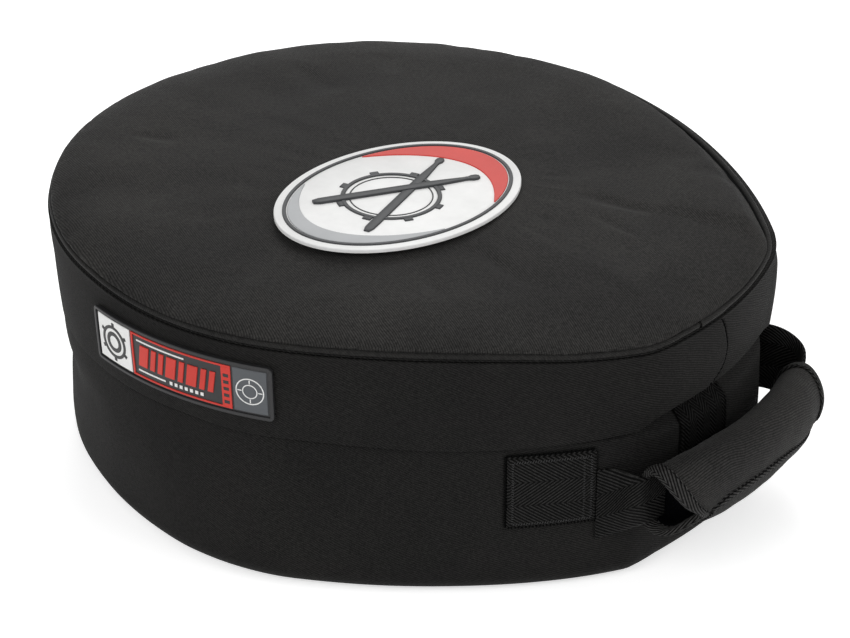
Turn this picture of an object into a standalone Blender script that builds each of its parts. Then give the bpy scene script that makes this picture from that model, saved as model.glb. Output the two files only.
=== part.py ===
"""Soft padded drum case: a round body with a squared nose, a hinged and zipped lid, and a carry handle.

The base rests on z = 0. The round part's centre is the origin, and the nose, the hinge and the
handle point to +X. All sizes are in metres.
"""
import math

import bpy
import bmesh
from mathutils import Matrix, Vector

# Clearance between pieces that touch, and between the lid and the body
clearance = 0.0003
parting_gap = 0.0004

# Plan of the lid's rim: arcs that meet tangentially, the same on both sides of the nose
round_radius = 0.203
flank_radius = 0.376
corner_radius = 0.062
corner_x = 0.180
corner_y = 0.037
nose_radius = 0.2135
round_steps = 16
flank_steps = 4
corner_steps = 4
nose_steps = 3

# Heights
rim_height = 0.1635
zip_height = 0.1115
flap_edge_height = 0.0995
crown_height = 0.0150

# Cloth and padding
fabric_thickness = 0.0010
lining_thickness = 0.0008
wall_foam_thickness = 0.0070
base_foam_thickness = 0.0060
lid_foam_thickness = 0.0090

# Body wall
wall_inset = 0.0052
wall_bulge = 0.0008
base_edge_radius = 0.0120
base_edge_steps = 3
base_seam_turn_in = 0.0025
base_seam_lift = 0.0005
shoulder_height = 0.0190
shoulder_drop = 0.0085
shoulder_steps = 2
bulge_height_share = 0.5
foam_top_share = 0.4

# Lid skirt, whose lower edge is a flap over the zip
flap_thickness = 0.0012
skirt_lean = 0.0026
skirt_belly_share = 0.45
skirt_top_drop = 0.0041
seam_allowance = 0.0044
flap_nose_rise = 0.0110
flap_nose_reach_deg = 62.0

# Piping round the lid's rim
piping_radius = 0.0020
piping_sides = 8

# Lid's crown: how far in from the piping each step lies, and its height, as shares
crown_step_shares = (0.00, 0.01, 0.09, 0.25, 0.52, 1.00)
crown_rise_shares = (0.00, 0.19, 0.55, 0.77, 0.91, 1.00)
crown_run = 0.0304
crown_flat_share = 0.68
crown_flat_rise = 0.0010
panel_edge_drop = 0.0038

# Zip
zip_end_deg = 43.0
tape_thickness = 0.0007
tape_height = 0.0085
coil_thickness = 0.0016
coil_height = 0.0022
zip_band_height = 0.0095
end_tab_angle_deg = 4.0
end_tab_thickness = 0.0016
hinge_strip_end_deg = 34.0
hinge_strip_thickness = 0.0010

# Zip sliders and their pulls
slider_length = 0.0100
slider_plate = 0.0020
slider_rise = 0.0052
slider_lip = 0.0015
slider_gap_deg = 1.9
lug_height = 0.0014
lug_reach = 0.0020
lug_length = 0.0030
lug_setback = 0.0008
pull_length = 0.0210
pull_height = 0.0044
pull_thickness = 0.0010
pull_barrel_radius = 0.0008
pull_barrel_sides = 10

# Webbing, its anchors on the wall and the patch under the flap
webbing_width = 0.0465
webbing_thickness = 0.0018
handle_height = 0.0690
anchor_start_deg = 42.6
anchor_end_deg = 50.5
patch_width = 0.0450
patch_bottom = 0.0500

# Handle: a padded roll round folded webbing
grip_half_length = 0.0790
grip_front_x = 0.2490
grip_middle_x = 0.2622
grip_back_x = 0.2523
grip_front_z = 0.0650
grip_middle_z = 0.0631
grip_back_z = 0.0545
grip_half_width = 0.0161
grip_half_depth = 0.0251
grip_front_swell = 0.0015
grip_back_swell = 0.0002
grip_tilt_deg = -16.0
grip_stations = 8
grip_sides = 16
sleeve_thickness = 0.0012
folded_width = 0.0390
folded_thickness = 0.0030
bore_squareness = 50.0
binding_thickness = 0.0011
end_binding_width = 0.0100
edge_binding_sides = (14, 15)
closure_sides = (10, 12)
tail_stations = 8
tail_front_drop = 0.0140
tail_back_drop = -0.0070
tail_bend_share = 0.42
tail_lead = 0.0060

# Oval rubber badge on the lid and the label on its skirt
badge_x = 0.0385
badge_y = -0.0380
badge_half_length = 0.0815
badge_half_width = 0.0605
badge_turn_deg = 76.0
badge_thickness = 0.0022
badge_steps = 32
badge_border = 0.0050
badge_relief = 0.0010
badge_ring_width = 0.0100
label_start_deg = -109.4
label_end_deg = -72.3
label_bottom = 0.1115
label_top = 0.1467
label_backing = 0.0013
label_face = 0.0009
label_margin = 0.0030

# Joint axes: the lid turns at the flap's edge on the nose, the grip at its lower inner side
hinge_inset = 0.0025
hinge_rise = 0.0050
handle_axis_inset = 0.0025
handle_axis_height = 0.0450

# Places that follow from the sizes
neck_inset = wall_inset + wall_foam_thickness + clearance
lining_outer = neck_inset + fabric_thickness + clearance
lining_inner = lining_outer + lining_thickness
edge_centre_inset = wall_inset + base_edge_radius
base_foam_bottom = base_seam_lift + fabric_thickness + clearance
base_foam_top = base_foam_bottom + base_foam_thickness
floor_height = base_foam_top + clearance
body_top = zip_height
lid_bottom = zip_height + parting_gap
shoulder_bottom = body_top - shoulder_height
shoulder_top = body_top - shoulder_drop
skirt_top = rim_height - skirt_top_drop
foam_shelf = lid_bottom + zip_band_height + fabric_thickness + clearance
skirt_foam_top = skirt_top - fabric_thickness - clearance
lid_foam_bottom = skirt_top - fabric_thickness
tape_inner = neck_inset - clearance
tape_outer = tape_inner - tape_thickness
coil_inner = tape_outer - clearance
coil_outer = coil_inner - coil_thickness
plate_inner = coil_outer - clearance
plate_outer = plate_inner - slider_plate


def material(name, colour, roughness, metallic=0.0):
    """A plain surface for one kind of material."""
    mat = bpy.data.materials.new(name)
    mat.use_nodes = True
    shader = mat.node_tree.nodes["Principled BSDF"]
    shader.inputs["Base Color"].default_value = (*colour, 1.0)
    shader.inputs["Roughness"].default_value = roughness
    shader.inputs["Metallic"].default_value = metallic
    mat.diffuse_color = (*colour, 1.0)
    return mat


# The plan of the rim

def plan_arcs():
    """Centre, radius and far end, as the angle of its outward normal, of each arc from the nose."""
    corner_distance = math.hypot(corner_x, corner_y)
    to_round = flank_radius - round_radius
    to_corner = flank_radius - corner_radius
    along = (to_round ** 2 - to_corner ** 2 + corner_distance ** 2) / (2.0 * corner_distance)
    across = math.sqrt(to_round ** 2 - along ** 2)
    ux = corner_x / corner_distance
    uy = corner_y / corner_distance
    flank_x = ux * along + uy * across
    flank_y = uy * along - ux * across
    nose_x = corner_x - math.sqrt((nose_radius - corner_radius) ** 2 - corner_y ** 2)
    round_start = math.atan2(-flank_y, -flank_x)
    flank_start = math.atan2(corner_y - flank_y, corner_x - flank_x)
    corner_start = math.atan2(corner_y, corner_x - nose_x)
    return (
        ((nose_x, 0.0), nose_radius, corner_start, nose_steps),
        ((corner_x, corner_y), corner_radius, flank_start, corner_steps),
        ((flank_x, flank_y), flank_radius, round_start, flank_steps),
        ((0.0, 0.0), round_radius, math.pi, round_steps),
    )


ARCS = plan_arcs()
nose_tip = ARCS[0][0][0] + nose_radius


def wrapped(angle):
    """The same direction as angle, between minus pi and pi."""
    return math.atan2(math.sin(angle), math.cos(angle))


def plan_point(angle, inset):
    """The point of the rim's outline with this outward normal, moved inwards by inset."""
    turned = wrapped(angle)
    for centre, radius, end, steps in ARCS:
        if abs(turned) <= end + 1e-9:
            break
    x = centre[0] + (radius - inset) * math.cos(turned)
    y = centre[1] + (radius - inset) * math.sin(abs(turned))
    return Vector((x, math.copysign(y, turned), 0.0))


def ring_angles():
    """Normal angles of the whole outline, from the nose round by +Y, the back and -Y."""
    half = [0.0]
    start = 0.0
    for centre, radius, end, steps in ARCS:
        half += [start + (end - start) * (i + 1) / steps for i in range(steps)]
        start = end
    return half + [2.0 * math.pi - a for a in reversed(half[1:-1])]


RING = ring_angles()


def span_angles(start, end):
    """The outline's own angles between start and end, with both ends added."""
    inside = [a + turn for turn in (-2.0 * math.pi, 0.0, 2.0 * math.pi) for a in RING]
    return [start] + sorted(a for a in inside if start + 1e-4 < a < end - 1e-4) + [end]


def nose_share(angle):
    """1 at the nose, falling smoothly to 0 on the flanks."""
    reach = math.radians(flap_nose_reach_deg)
    return 0.5 + 0.5 * math.cos(math.pi * min(1.0, abs(wrapped(angle)) / reach))


# Mesh helpers

def finish(name, bm, mat, parent=None, smooth_deg=40.0):
    """Turns a bmesh into a named object whose faces point outwards."""
    bmesh.ops.recalc_face_normals(bm, faces=bm.faces)
    mesh = bpy.data.meshes.new(name)
    bm.to_mesh(mesh)
    bm.free()
    mesh.materials.append(mat)
    mesh.shade_smooth()
    mesh.set_sharp_from_angle(angle=math.radians(smooth_deg))
    obj = bpy.data.objects.new(name, mesh)
    bpy.context.collection.objects.link(obj)
    if parent is not None:
        place = Vector(parent.matrix_world.translation)
        mesh.transform(Matrix.Translation(-place))
        obj.parent = parent
    return obj


def axis_empty(name, place, parent=None):
    """An empty on a joint's axis, which carries the pieces that move with it."""
    empty = bpy.data.objects.new(name, None)
    bpy.context.collection.objects.link(empty)
    if parent is not None:
        empty.parent = parent
        empty.location = Vector(place) - parent.matrix_world.translation
    else:
        empty.location = place
    bpy.context.view_layer.update()
    return empty


def loft(sections, closed=False):
    """Skins a row of closed sections with the same number of points."""
    bm = bmesh.new()
    rings = [[bm.verts.new(p) for p in section] for section in sections]
    count = len(rings[0])
    pairs = list(zip(rings, rings[1:]))
    if closed:
        pairs.append((rings[-1], rings[0]))
    for near, far in pairs:
        for i in range(count):
            j = (i + 1) % count
            bm.faces.new((near[i], near[j], far[j], far[i]))
    if not closed:
        bm.faces.new(rings[0])
        bm.faces.new(reversed(rings[-1]))
    return bm


def lift(row, angle):
    """A profile row at one angle: its point on the plan, with the flap's rise at the nose."""
    inset, height = row[0], row[1]
    rise = row[2] if len(row) > 2 else 0.0
    point = plan_point(angle, inset)
    point.z = height + rise * nose_share(angle)
    return point


def ring_solid(name, rows, mat, parent=None, span=None):
    """A profile of (inset, height) rows carried round the outline, or round a span of it."""
    angles = RING if span is None else span_angles(*span)
    sections = [[lift(row, a) for row in rows] for a in angles]
    return finish(name, loft(sections, closed=span is None), mat, parent)


def disc_solid(name, rows, mat, parent=None):
    """A filled panel: (inset, height, share) rings from the middle of one face to the other's."""
    centre = Vector(((nose_tip - round_radius) / 2.0, 0.0, 0.0))
    rings = []
    for inset, height, share in rows:
        points = [centre + (plan_point(a, inset) - centre) * share for a in RING]
        rings.append([Vector((p.x, p.y, height)) for p in points])
    return finish(name, loft(rings), mat, parent)


def block(size, centre):
    """A box as a bmesh."""
    bm = bmesh.new()
    bmesh.ops.create_cube(bm, size=1.0)
    bmesh.ops.scale(bm, vec=size, verts=bm.verts)
    bmesh.ops.translate(bm, vec=centre, verts=bm.verts)
    return bm


def joined(target, others):
    """Unites a piece with blocks that belong to it."""
    for i, other in enumerate(others):
        other.hide_render = True
        other.display_type = "WIRE"
        union = target.modifiers.new(f"with_{i}", "BOOLEAN")
        union.operation = "UNION"
        union.solver = "EXACT"
        union.object = other


def smooth_share(t):
    """Eases from 0 to 1."""
    return t * t * (3.0 - 2.0 * t)


# The body

def edge_inset(height, depth):
    """Inset of the rounded base edge at a height, for a face that lies depth inside the wall."""
    radius = base_edge_radius - depth
    return edge_centre_inset - math.sqrt(max(0.0, radius ** 2 - (base_edge_radius - height) ** 2))


def wall_face(depth):
    """Rows up one face of the body wall, depth inside its outer face, from the base to the zip."""
    rows = []
    lowest = depth + base_seam_lift
    for i in range(base_edge_steps + 1):
        t = i / base_edge_steps
        height = lowest + (base_edge_radius - lowest) * smooth_share(t)
        rows.append((edge_inset(height, depth), height))
    bulge_height = base_edge_radius + (shoulder_bottom - base_edge_radius) * bulge_height_share
    rows.append((wall_inset - wall_bulge + depth, bulge_height))
    for i in range(shoulder_steps + 1):
        t = i / shoulder_steps
        inset = wall_inset + (neck_inset - wall_inset) * smooth_share(t)
        rows.append((inset + depth, shoulder_bottom + (shoulder_top - shoulder_bottom) * t))
    rows.append((neck_inset + depth, body_top))
    return rows


def alongside(rows, low, high, gap):
    """Rows that follow a face between two heights, a gap further in."""
    heights = [low] + [row[1] for row in rows if low < row[1] < high] + [high]
    followed = []
    for height in heights:
        for near, far in zip(rows, rows[1:]):
            if near[1] <= height <= far[1]:
                t = (height - near[1]) / (far[1] - near[1])
                followed.append((near[0] + (far[0] - near[0]) * t + gap, height))
                break
    return followed


def make_body(cloth, foam, lining):
    """Base, wall, padding and lining of the body."""
    seam = edge_centre_inset + base_seam_turn_in
    outer = [(seam, base_seam_lift)] + wall_face(0.0)
    inner = [(seam, base_seam_lift + fabric_thickness)] + wall_face(fabric_thickness)
    ring_solid("side_wall", outer + inner[::-1], cloth)

    base_inset = seam + clearance
    disc_solid("base_panel", [(base_inset, 0.0, 1.0), (base_inset, fabric_thickness, 1.0)], cloth)

    within = wall_face(fabric_thickness)
    gap = clearance + clearance
    edge = alongside(within, base_foam_bottom, base_foam_top, gap)
    disc_solid("base_foam", [(inset, height, 1.0) for inset, height in edge], foam)

    foam_inner = lining_outer - clearance
    foam_high = shoulder_top - shoulder_drop * foam_top_share
    rows = alongside(within, floor_height, foam_high, clearance)
    rows += [(foam_inner, foam_high), (foam_inner, floor_height)]
    ring_solid("side_foam", rows, foam)

    wall_lining = [(lining_outer, floor_height), (lining_outer, body_top),
                   (lining_inner, body_top), (lining_inner, floor_height)]
    ring_solid("side_lining", wall_lining, lining)
    floor_inset = lining_inner + clearance
    floor_top = floor_height + lining_thickness
    disc_solid("base_lining", [(floor_inset, floor_height, 1.0), (floor_inset, floor_top, 1.0)], lining)


# The lid

def skirt_inset(height):
    """Inset of the skirt's outer face at a height below the rim."""
    t = (skirt_top - height) / (skirt_top - flap_edge_height)
    return skirt_lean * t * (skirt_belly_share + (1.0 - skirt_belly_share) * t)


def make_skirt(cloth, parent):
    """The lid's side, turned in under the piping, with its lower edge hanging over the zip."""
    middle = foam_shelf
    outer_top = [(fabric_thickness, skirt_top), (0.0, skirt_top - fabric_thickness)]
    upper = (skirt_top + middle) / 2.0
    outer = [(skirt_inset(upper), upper), (skirt_inset(middle), middle)]
    edge = [(skirt_lean, flap_edge_height, flap_nose_rise)]
    inner = [(skirt_lean + flap_thickness, flap_edge_height, flap_nose_rise),
             (skirt_inset(middle) + flap_thickness, middle),
             (skirt_inset(upper) + flap_thickness, upper),
             (flap_thickness, skirt_top - fabric_thickness - clearance),
             (flap_thickness + clearance, skirt_top - fabric_thickness),
             (seam_allowance, skirt_top - fabric_thickness), (seam_allowance, skirt_top)]
    ring_solid("lid_skirt", outer_top + outer + edge + inner, cloth, parent)


def make_lid(cloth, foam, lining, piping, parent):
    """Top panel, padding, lining, skirt and piping of the lid."""
    make_skirt(cloth, parent)

    sides = [2.0 * math.pi * i / piping_sides for i in range(piping_sides)]
    centre_height = skirt_top + clearance + piping_radius
    centre_inset = piping_radius + clearance
    tube = [(centre_inset - piping_radius * math.cos(a), centre_height + piping_radius * math.sin(a))
            for a in sides]
    ring_solid("lid_piping", tube, piping, parent)

    edge = seam_allowance + clearance
    edge_height = skirt_top + clearance
    rise = crown_height + panel_edge_drop

    def crown_rows(thinner, lower):
        """Rows of the dome, from its flat middle out to its edge."""
        rows = [(edge + thinner + crown_run * s, edge_height - lower + rise * r, 1.0)
                for s, r in zip(crown_step_shares, crown_rise_shares)]
        top = rows[-1]
        rows.append((top[0], top[1] + crown_flat_rise, crown_flat_share))
        return rows[::-1]

    outer = crown_rows(0.0, 0.0)
    under = crown_rows(fabric_thickness, fabric_thickness)
    under[-1] = (under[-1][0], edge_height, 1.0)
    disc_solid("lid_top_panel", outer + under[::-1], cloth, parent)

    top = crown_rows(fabric_thickness + clearance, fabric_thickness + clearance)
    top[-1] = (top[-1][0], lid_foam_bottom, 1.0)
    ceiling_inset = lining_inner + clearance
    ceiling = [(ceiling_inset, lid_foam_bottom, 1.0)]
    for inset, height, share in top[3::-1]:
        ceiling.append((inset + ceiling_inset - edge, height - lid_foam_thickness, share))
    ceiling[1] = (ceiling[1][0], max(ceiling[1][1], lid_foam_bottom + clearance), 1.0)
    disc_solid("lid_foam", top + ceiling, foam, parent)

    under_foam = [(inset, height - clearance, share) for inset, height, share in ceiling]
    lower = [(inset, height - lining_thickness, share) for inset, height, share in under_foam]
    disc_solid("lid_lining", under_foam[::-1] + lower, lining, parent)

    band = [(neck_inset, lid_bottom), (neck_inset, foam_shelf - clearance - fabric_thickness)]
    reach = skirt_inset(foam_shelf) + flap_thickness + clearance
    shelf_low = foam_shelf - clearance - fabric_thickness
    band += [(reach, shelf_low), (reach, foam_shelf - clearance)]
    band += [(neck_inset + fabric_thickness, foam_shelf - clearance),
             (neck_inset + fabric_thickness, lid_bottom)]
    ring_solid("lid_zip_band", band, cloth, parent)

    foam_inner = lining_outer - clearance
    foam_mid = (foam_shelf + skirt_foam_top) / 2.0
    inside = flap_thickness + clearance
    rows = [(skirt_inset(foam_shelf) + inside, foam_shelf),
            (skirt_inset(foam_mid) + inside, foam_mid),
            (inside + clearance, skirt_foam_top - clearance),
            (inside + clearance + clearance, skirt_foam_top),
            (foam_inner, skirt_foam_top), (foam_inner, foam_shelf)]
    ring_solid("lid_skirt_foam", rows, foam, parent)

    ring_solid("lid_skirt_lining", [(lining_outer, lid_bottom), (lining_outer, skirt_foam_top),
                                    (lining_inner, skirt_foam_top), (lining_inner, lid_bottom)],
               lining, parent)


# The zip and the soft hinge

def strip(inner, thickness, low, high):
    """Four rows of a flat strip whose inner face lies at inset inner."""
    return [(inner, low), (inner, high), (inner - thickness, high), (inner - thickness, low)]


def make_zip(tape, coil, cloth, lid):
    """Both tapes and coils, the tabs at their ends, and the cloth hinge across the nose."""
    start = math.radians(zip_end_deg)
    span = (start, 2.0 * math.pi - start)
    tape_low = body_top - tape_height
    tape_high = lid_bottom + tape_height
    ring_solid("lower_zip_tape", strip(tape_inner, tape_thickness, tape_low, body_top), tape, None, span)
    ring_solid("upper_zip_tape", strip(tape_inner, tape_thickness, lid_bottom, tape_high), tape, lid, span)
    coil_low = body_top - coil_height
    coil_high = lid_bottom + coil_height
    ring_solid("lower_zip_coil", strip(coil_inner, coil_thickness, coil_low, body_top), coil, None, span)
    ring_solid("upper_zip_coil", strip(coil_inner, coil_thickness, lid_bottom, coil_high), coil, lid, span)

    tab = math.radians(end_tab_angle_deg)
    gap = clearance / corner_radius
    tab_rows = strip(tape_inner, end_tab_thickness, tape_low, body_top)
    ring_solid("zip_end_tab_left", tab_rows, cloth, None, (start - gap - tab, start - gap))
    ring_solid("zip_end_tab_right", tab_rows, cloth, None, (gap - start, gap - start + tab))

    reach = math.radians(hinge_strip_end_deg)
    lower = strip(tape_inner, hinge_strip_thickness, tape_low, body_top)
    upper = strip(tape_inner, hinge_strip_thickness, lid_bottom, tape_high)
    ring_solid("hinge_strip_lower", lower, cloth, None, (-reach, reach))
    ring_solid("hinge_strip_upper", upper, cloth, lid, (-reach, reach))


def make_slider(side, metal, body_axis, angle):
    """One zip slider with the lugs that hold its pull."""
    middle = (body_top + lid_bottom) / 2.0
    frame = Matrix.Rotation(angle, 4, "Z")
    high = middle + slider_rise
    low = body_top - coil_height - clearance
    lip_low = low - slider_lip

    def radius(inset):
        return round_radius - inset

    profile = [(plate_outer, high), (plate_outer, lip_low), (coil_inner, lip_low),
               (coil_inner, low), (plate_inner, low), (plate_inner, high)]
    ends = (-slider_length / 2.0, slider_length / 2.0)
    sections = [[frame @ Vector((radius(i), along, h)) for i, h in profile] for along in ends]
    slider = finish(f"zip_slider_{side}", loft(sections), metal, body_axis)

    lugs = []
    along = lug_place(side)
    sink = slider_plate / 2.0
    for name, direction in (("upper", 1.0), ("lower", -1.0)):
        offset = direction * (pull_height / 2.0 + clearance + lug_height / 2.0)
        size = (lug_reach + sink, lug_length, lug_height)
        place = Vector((radius(plate_outer) + (lug_reach - sink) / 2.0, along, middle + offset))
        bm = block(size, place)
        bm.transform(frame)
        lugs.append(finish(f"lug_{name}_{side}", bm, metal, body_axis))
    joined(slider, lugs)


def side_sign(side):
    """+1 on the side where the pull trails towards +Y round the back, -1 on the other."""
    return -1.0 if side == "left" else 1.0


def lug_place(side):
    """How far along the track from the slider's middle its lugs stand."""
    return side_sign(side) * (slider_length / 2.0 - lug_length / 2.0 - lug_setback)


def pull_place(side, angle):
    """Where a pull turns on its slider."""
    along = lug_place(side)
    out = round_radius - plate_outer + lug_reach / 2.0
    middle = (body_top + lid_bottom) / 2.0
    return Matrix.Rotation(angle, 4, "Z") @ Vector((out, along, middle))


def make_pull(side, metal, pull_axis, angle):
    """A flat pull with a round barrel between the slider's lugs."""
    place = pull_place(side, angle)
    frame = Matrix.Translation(place) @ Matrix.Rotation(angle, 4, "Z")
    sign = side_sign(side)
    half = pull_height / 2.0
    flat = pull_thickness / 2.0
    outline = []
    first = math.asin(min(1.0, flat / pull_barrel_radius))
    for i in range(pull_barrel_sides + 1):
        turn = first + (2.0 * math.pi - 2.0 * first) * i / pull_barrel_sides
        outline.append((pull_barrel_radius * math.sin(turn), pull_barrel_radius * math.cos(turn)))
    outline += [(-flat, pull_length), (flat, pull_length)]
    sections = [[frame @ Vector((x, sign * y, z)) for x, y in outline] for z in (-half, half)]
    finish(f"zip_pull_{side}", loft(sections), metal, pull_axis)


# The handle

def through(front, middle, back, share):
    """A smooth curve through three values; share runs from -1 at the front to 1 at the back."""
    bend = (front + back) / 2.0 - middle
    return middle + (back - front) / 2.0 * share + bend * share * share


def grip_centre(y):
    """Centre line of the grip, bowed out in its middle."""
    share = y / grip_half_length
    x = through(grip_front_x, grip_middle_x, grip_back_x, share)
    return Vector((x, y, through(grip_front_z, grip_middle_z, grip_back_z, share)))


def grip_swell(y):
    """How much wider the grip is at y than in its middle."""
    return through(grip_front_swell, 0.0, grip_back_swell, y / grip_half_length)


def grip_section(y, half_width, half_depth, squareness=2.0):
    """An oval or squarish section of the grip at y, tilted as the grip lies."""
    tilt = math.radians(grip_tilt_deg)
    swell = grip_swell(y)
    points = []
    for i in range(grip_sides):
        turn = 2.0 * math.pi * i / grip_sides
        cos, sin = math.cos(turn), math.sin(turn)
        wide = math.copysign(abs(cos) ** (2.0 / squareness), cos) * (half_width + swell)
        deep = math.copysign(abs(sin) ** (2.0 / squareness), sin) * (half_depth + swell)
        x = wide * math.cos(tilt) - deep * math.sin(tilt)
        z = wide * math.sin(tilt) + deep * math.cos(tilt)
        points.append(grip_centre(y) + Vector((x, 0.0, z)))
    return points


def grip_stops(start, end, count):
    """Places along the grip between two ends."""
    return [start + (end - start) * i / count for i in range(count + 1)]


def tube(outer, inner):
    """An open tube between two rows of sections."""
    return loft(outer + inner[::-1], closed=True)


def grip_shell(stops, outward, thickness):
    """A shell round the grip whose inner face lies outward of the sleeve's outer face."""
    outer = [grip_section(y, grip_half_width + outward + thickness, grip_half_depth + outward + thickness)
             for y in stops]
    inner = [grip_section(y, grip_half_width + outward, grip_half_depth + outward) for y in stops]
    return tube(outer, inner)


def grip_strip(stops, first, last, outward, thickness):
    """A band along the grip that covers its sides from first to last."""
    sections = []
    for y in stops:
        under = grip_section(y, grip_half_width + outward, grip_half_depth + outward)
        reach = outward + thickness
        over = grip_section(y, grip_half_width + reach, grip_half_depth + reach)
        sections.append(under[first:last + 1] + over[first:last + 1][::-1])
    return loft(sections)


def make_grip(cloth, foam, webbing, binding, parent):
    """The padded roll: sleeve, padding, folded webbing and bindings."""
    stops = grip_stops(-grip_half_length, grip_half_length, grip_stations)
    sleeve = [grip_section(y, grip_half_width, grip_half_depth) for y in stops]
    inside = sleeve_thickness
    sleeve_in = [grip_section(y, grip_half_width - inside, grip_half_depth - inside) for y in stops]
    finish("grip_sleeve", tube(sleeve, sleeve_in), cloth, parent)

    inside += clearance
    pad = [grip_section(y, grip_half_width - inside, grip_half_depth - inside) for y in stops]
    bore_wide = folded_thickness / 2.0 + clearance
    bore_deep = folded_width / 2.0 + clearance
    bore = [grip_section(y, bore_wide, bore_deep, bore_squareness) for y in stops]
    finish("grip_padding", tube(pad, bore), foam, parent)

    core = [folded_section(y) for y in stops]
    finish("handle_strap_core", loft(core), webbing, parent)

    for name, sign in (("front", -1.0), ("back", 1.0)):
        ends = grip_stops(sign * (grip_half_length - end_binding_width), sign * grip_half_length, 2)
        finish(f"grip_end_binding_{name}", grip_shell(ends, clearance, binding_thickness), binding, parent)

    inner_end = grip_half_length - end_binding_width - clearance
    between = grip_stops(-inner_end, inner_end, grip_stations - 2)
    bound = grip_strip(between, *edge_binding_sides, clearance, binding_thickness)
    finish("grip_edge_binding", bound, binding, parent)
    closure = grip_strip(between, *closure_sides, clearance, sleeve_thickness)
    finish("grip_closure_flap", closure, cloth, parent)


def folded_section(y):
    """The webbing folded double inside the grip, as a flat bar on edge."""
    tilt = Matrix.Rotation(-math.radians(grip_tilt_deg), 3, "Y")
    corners = ((1.0, 1.0), (-1.0, 1.0), (-1.0, -1.0), (1.0, -1.0))
    half = (folded_thickness / 2.0, folded_width / 2.0)
    return [grip_centre(y) + tilt @ Vector((a * half[0], 0.0, b * half[1])) for a, b in corners]


def tail_path(sign):
    """Centre line and section sizes of one free strap, from its anchor to the grip's end."""
    leave = math.radians(anchor_start_deg) - clearance / flank_radius
    inset = wall_inset - wall_bulge - clearance - webbing_thickness / 2.0
    start = plan_point(sign * leave, inset)
    along = Vector((math.sin(leave), -sign * math.cos(leave), 0.0))
    end = grip_centre(sign * (grip_half_length + clearance))
    into = Vector((0.0, -sign, 0.0))
    reach = (end - Vector((start.x, start.y, end.z))).length * tail_bend_share
    stops = []
    for i in range(tail_stations + 1):
        t = i / tail_stations
        first = Vector((start.x, start.y, 0.0))
        last = Vector((end.x, end.y, 0.0)) - into * tail_lead
        near = first + along * reach
        far = last - into * reach
        place = bezier(first, near, far, last, t)
        heading = bezier_slope(first, near, far, last, t)
        leaving = handle_height - (tail_front_drop if sign < 0.0 else tail_back_drop)
        place.z = leaving + (end.z - leaving) * smooth_share(t)
        stops.append((place, heading.normalized(), t))
    stops.append((end, into, 1.0))
    return stops


def bezier(a, b, c, d, t):
    """A point on a cubic curve."""
    s = 1.0 - t
    return a * s ** 3 + b * 3.0 * s * s * t + c * 3.0 * s * t * t + d * t ** 3


def bezier_slope(a, b, c, d, t):
    """The direction of a cubic curve."""
    s = 1.0 - t
    return (b - a) * 3.0 * s * s + (c - b) * 6.0 * s * t + (d - c) * 3.0 * t * t


def sewn_on(low, high):
    """Webbing that lies on the body wall between two heights."""
    inner = alongside(wall_face(0.0), low, high, -clearance)
    return inner + [(inset - webbing_thickness, height) for inset, height in inner[::-1]]


def make_handle_mounts(webbing):
    """The two anchors sewn to the wall and the free straps that run from them to the grip."""
    low = handle_height - webbing_width / 2.0
    high = handle_height + webbing_width / 2.0
    rows = sewn_on(low, high)
    first = math.radians(anchor_start_deg)
    last = math.radians(anchor_end_deg)
    ring_solid("handle_anchor_back", rows, webbing, None, (first, last))
    ring_solid("handle_anchor_front", rows, webbing, None, (-last, -first))
    for name, sign in (("front", -1.0), ("back", 1.0)):
        sections = []
        for place, heading, t in tail_path(sign):
            ease = smooth_share(t)
            width = webbing_width + (folded_width - webbing_width) * ease
            depth = webbing_thickness + (folded_thickness - webbing_thickness) * ease
            side = Vector((heading.y, -heading.x, 0.0)) * sign
            lean = ease * math.radians(grip_tilt_deg)
            up = Vector((0.0, 0.0, math.cos(lean))) + side * math.sin(lean)
            flat = side * math.cos(lean) - Vector((0.0, 0.0, math.sin(lean)))
            corners = ((1.0, 1.0), (-1.0, 1.0), (-1.0, -1.0), (1.0, -1.0))
            sections.append([place + up * (a * width / 2.0) + flat * (b * depth / 2.0) for a, b in corners])
        finish(f"handle_strap_{name}", loft(sections), webbing)

    reach = patch_width / nose_radius
    patch = sewn_on(patch_bottom, shoulder_bottom)
    ring_solid("nose_webbing_patch", patch, webbing, None, (-reach, 0.0))


# The badge and the label

def badge_outline(shrink):
    """Oval of the badge, drawn in by shrink."""
    turn = Matrix.Rotation(math.radians(badge_turn_deg), 3, "Z")
    points = []
    for i in range(badge_steps):
        a = 2.0 * math.pi * i / badge_steps
        x = (badge_half_length - shrink) * math.cos(a)
        y = (badge_half_width - shrink) * math.sin(a)
        points.append(turn @ Vector((x, y, 0.0)) + Vector((badge_x, badge_y, 0.0)))
    return points


def at_height(points, z):
    """The same points at one height."""
    return [Vector((p.x, p.y, z)) for p in points]


def make_badge(white, charcoal, parent):
    """An oval rubber plate with a raised band."""
    low = skirt_top + clearance + crown_height + panel_edge_drop + crown_flat_rise + clearance
    top = low + badge_thickness
    edge = badge_outline(0.0)
    finish("badge_plate", loft([at_height(edge, low), at_height(edge, top)]), white, parent)
    relief_low = top + clearance
    relief_top = relief_low + badge_relief
    outer = badge_outline(badge_border)
    inner = badge_outline(badge_border + badge_ring_width)
    rows = [at_height(outer, relief_low), at_height(outer, relief_top),
            at_height(inner, relief_top), at_height(inner, relief_low)]
    finish("badge_band", loft(rows, closed=True), charcoal, parent)


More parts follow.
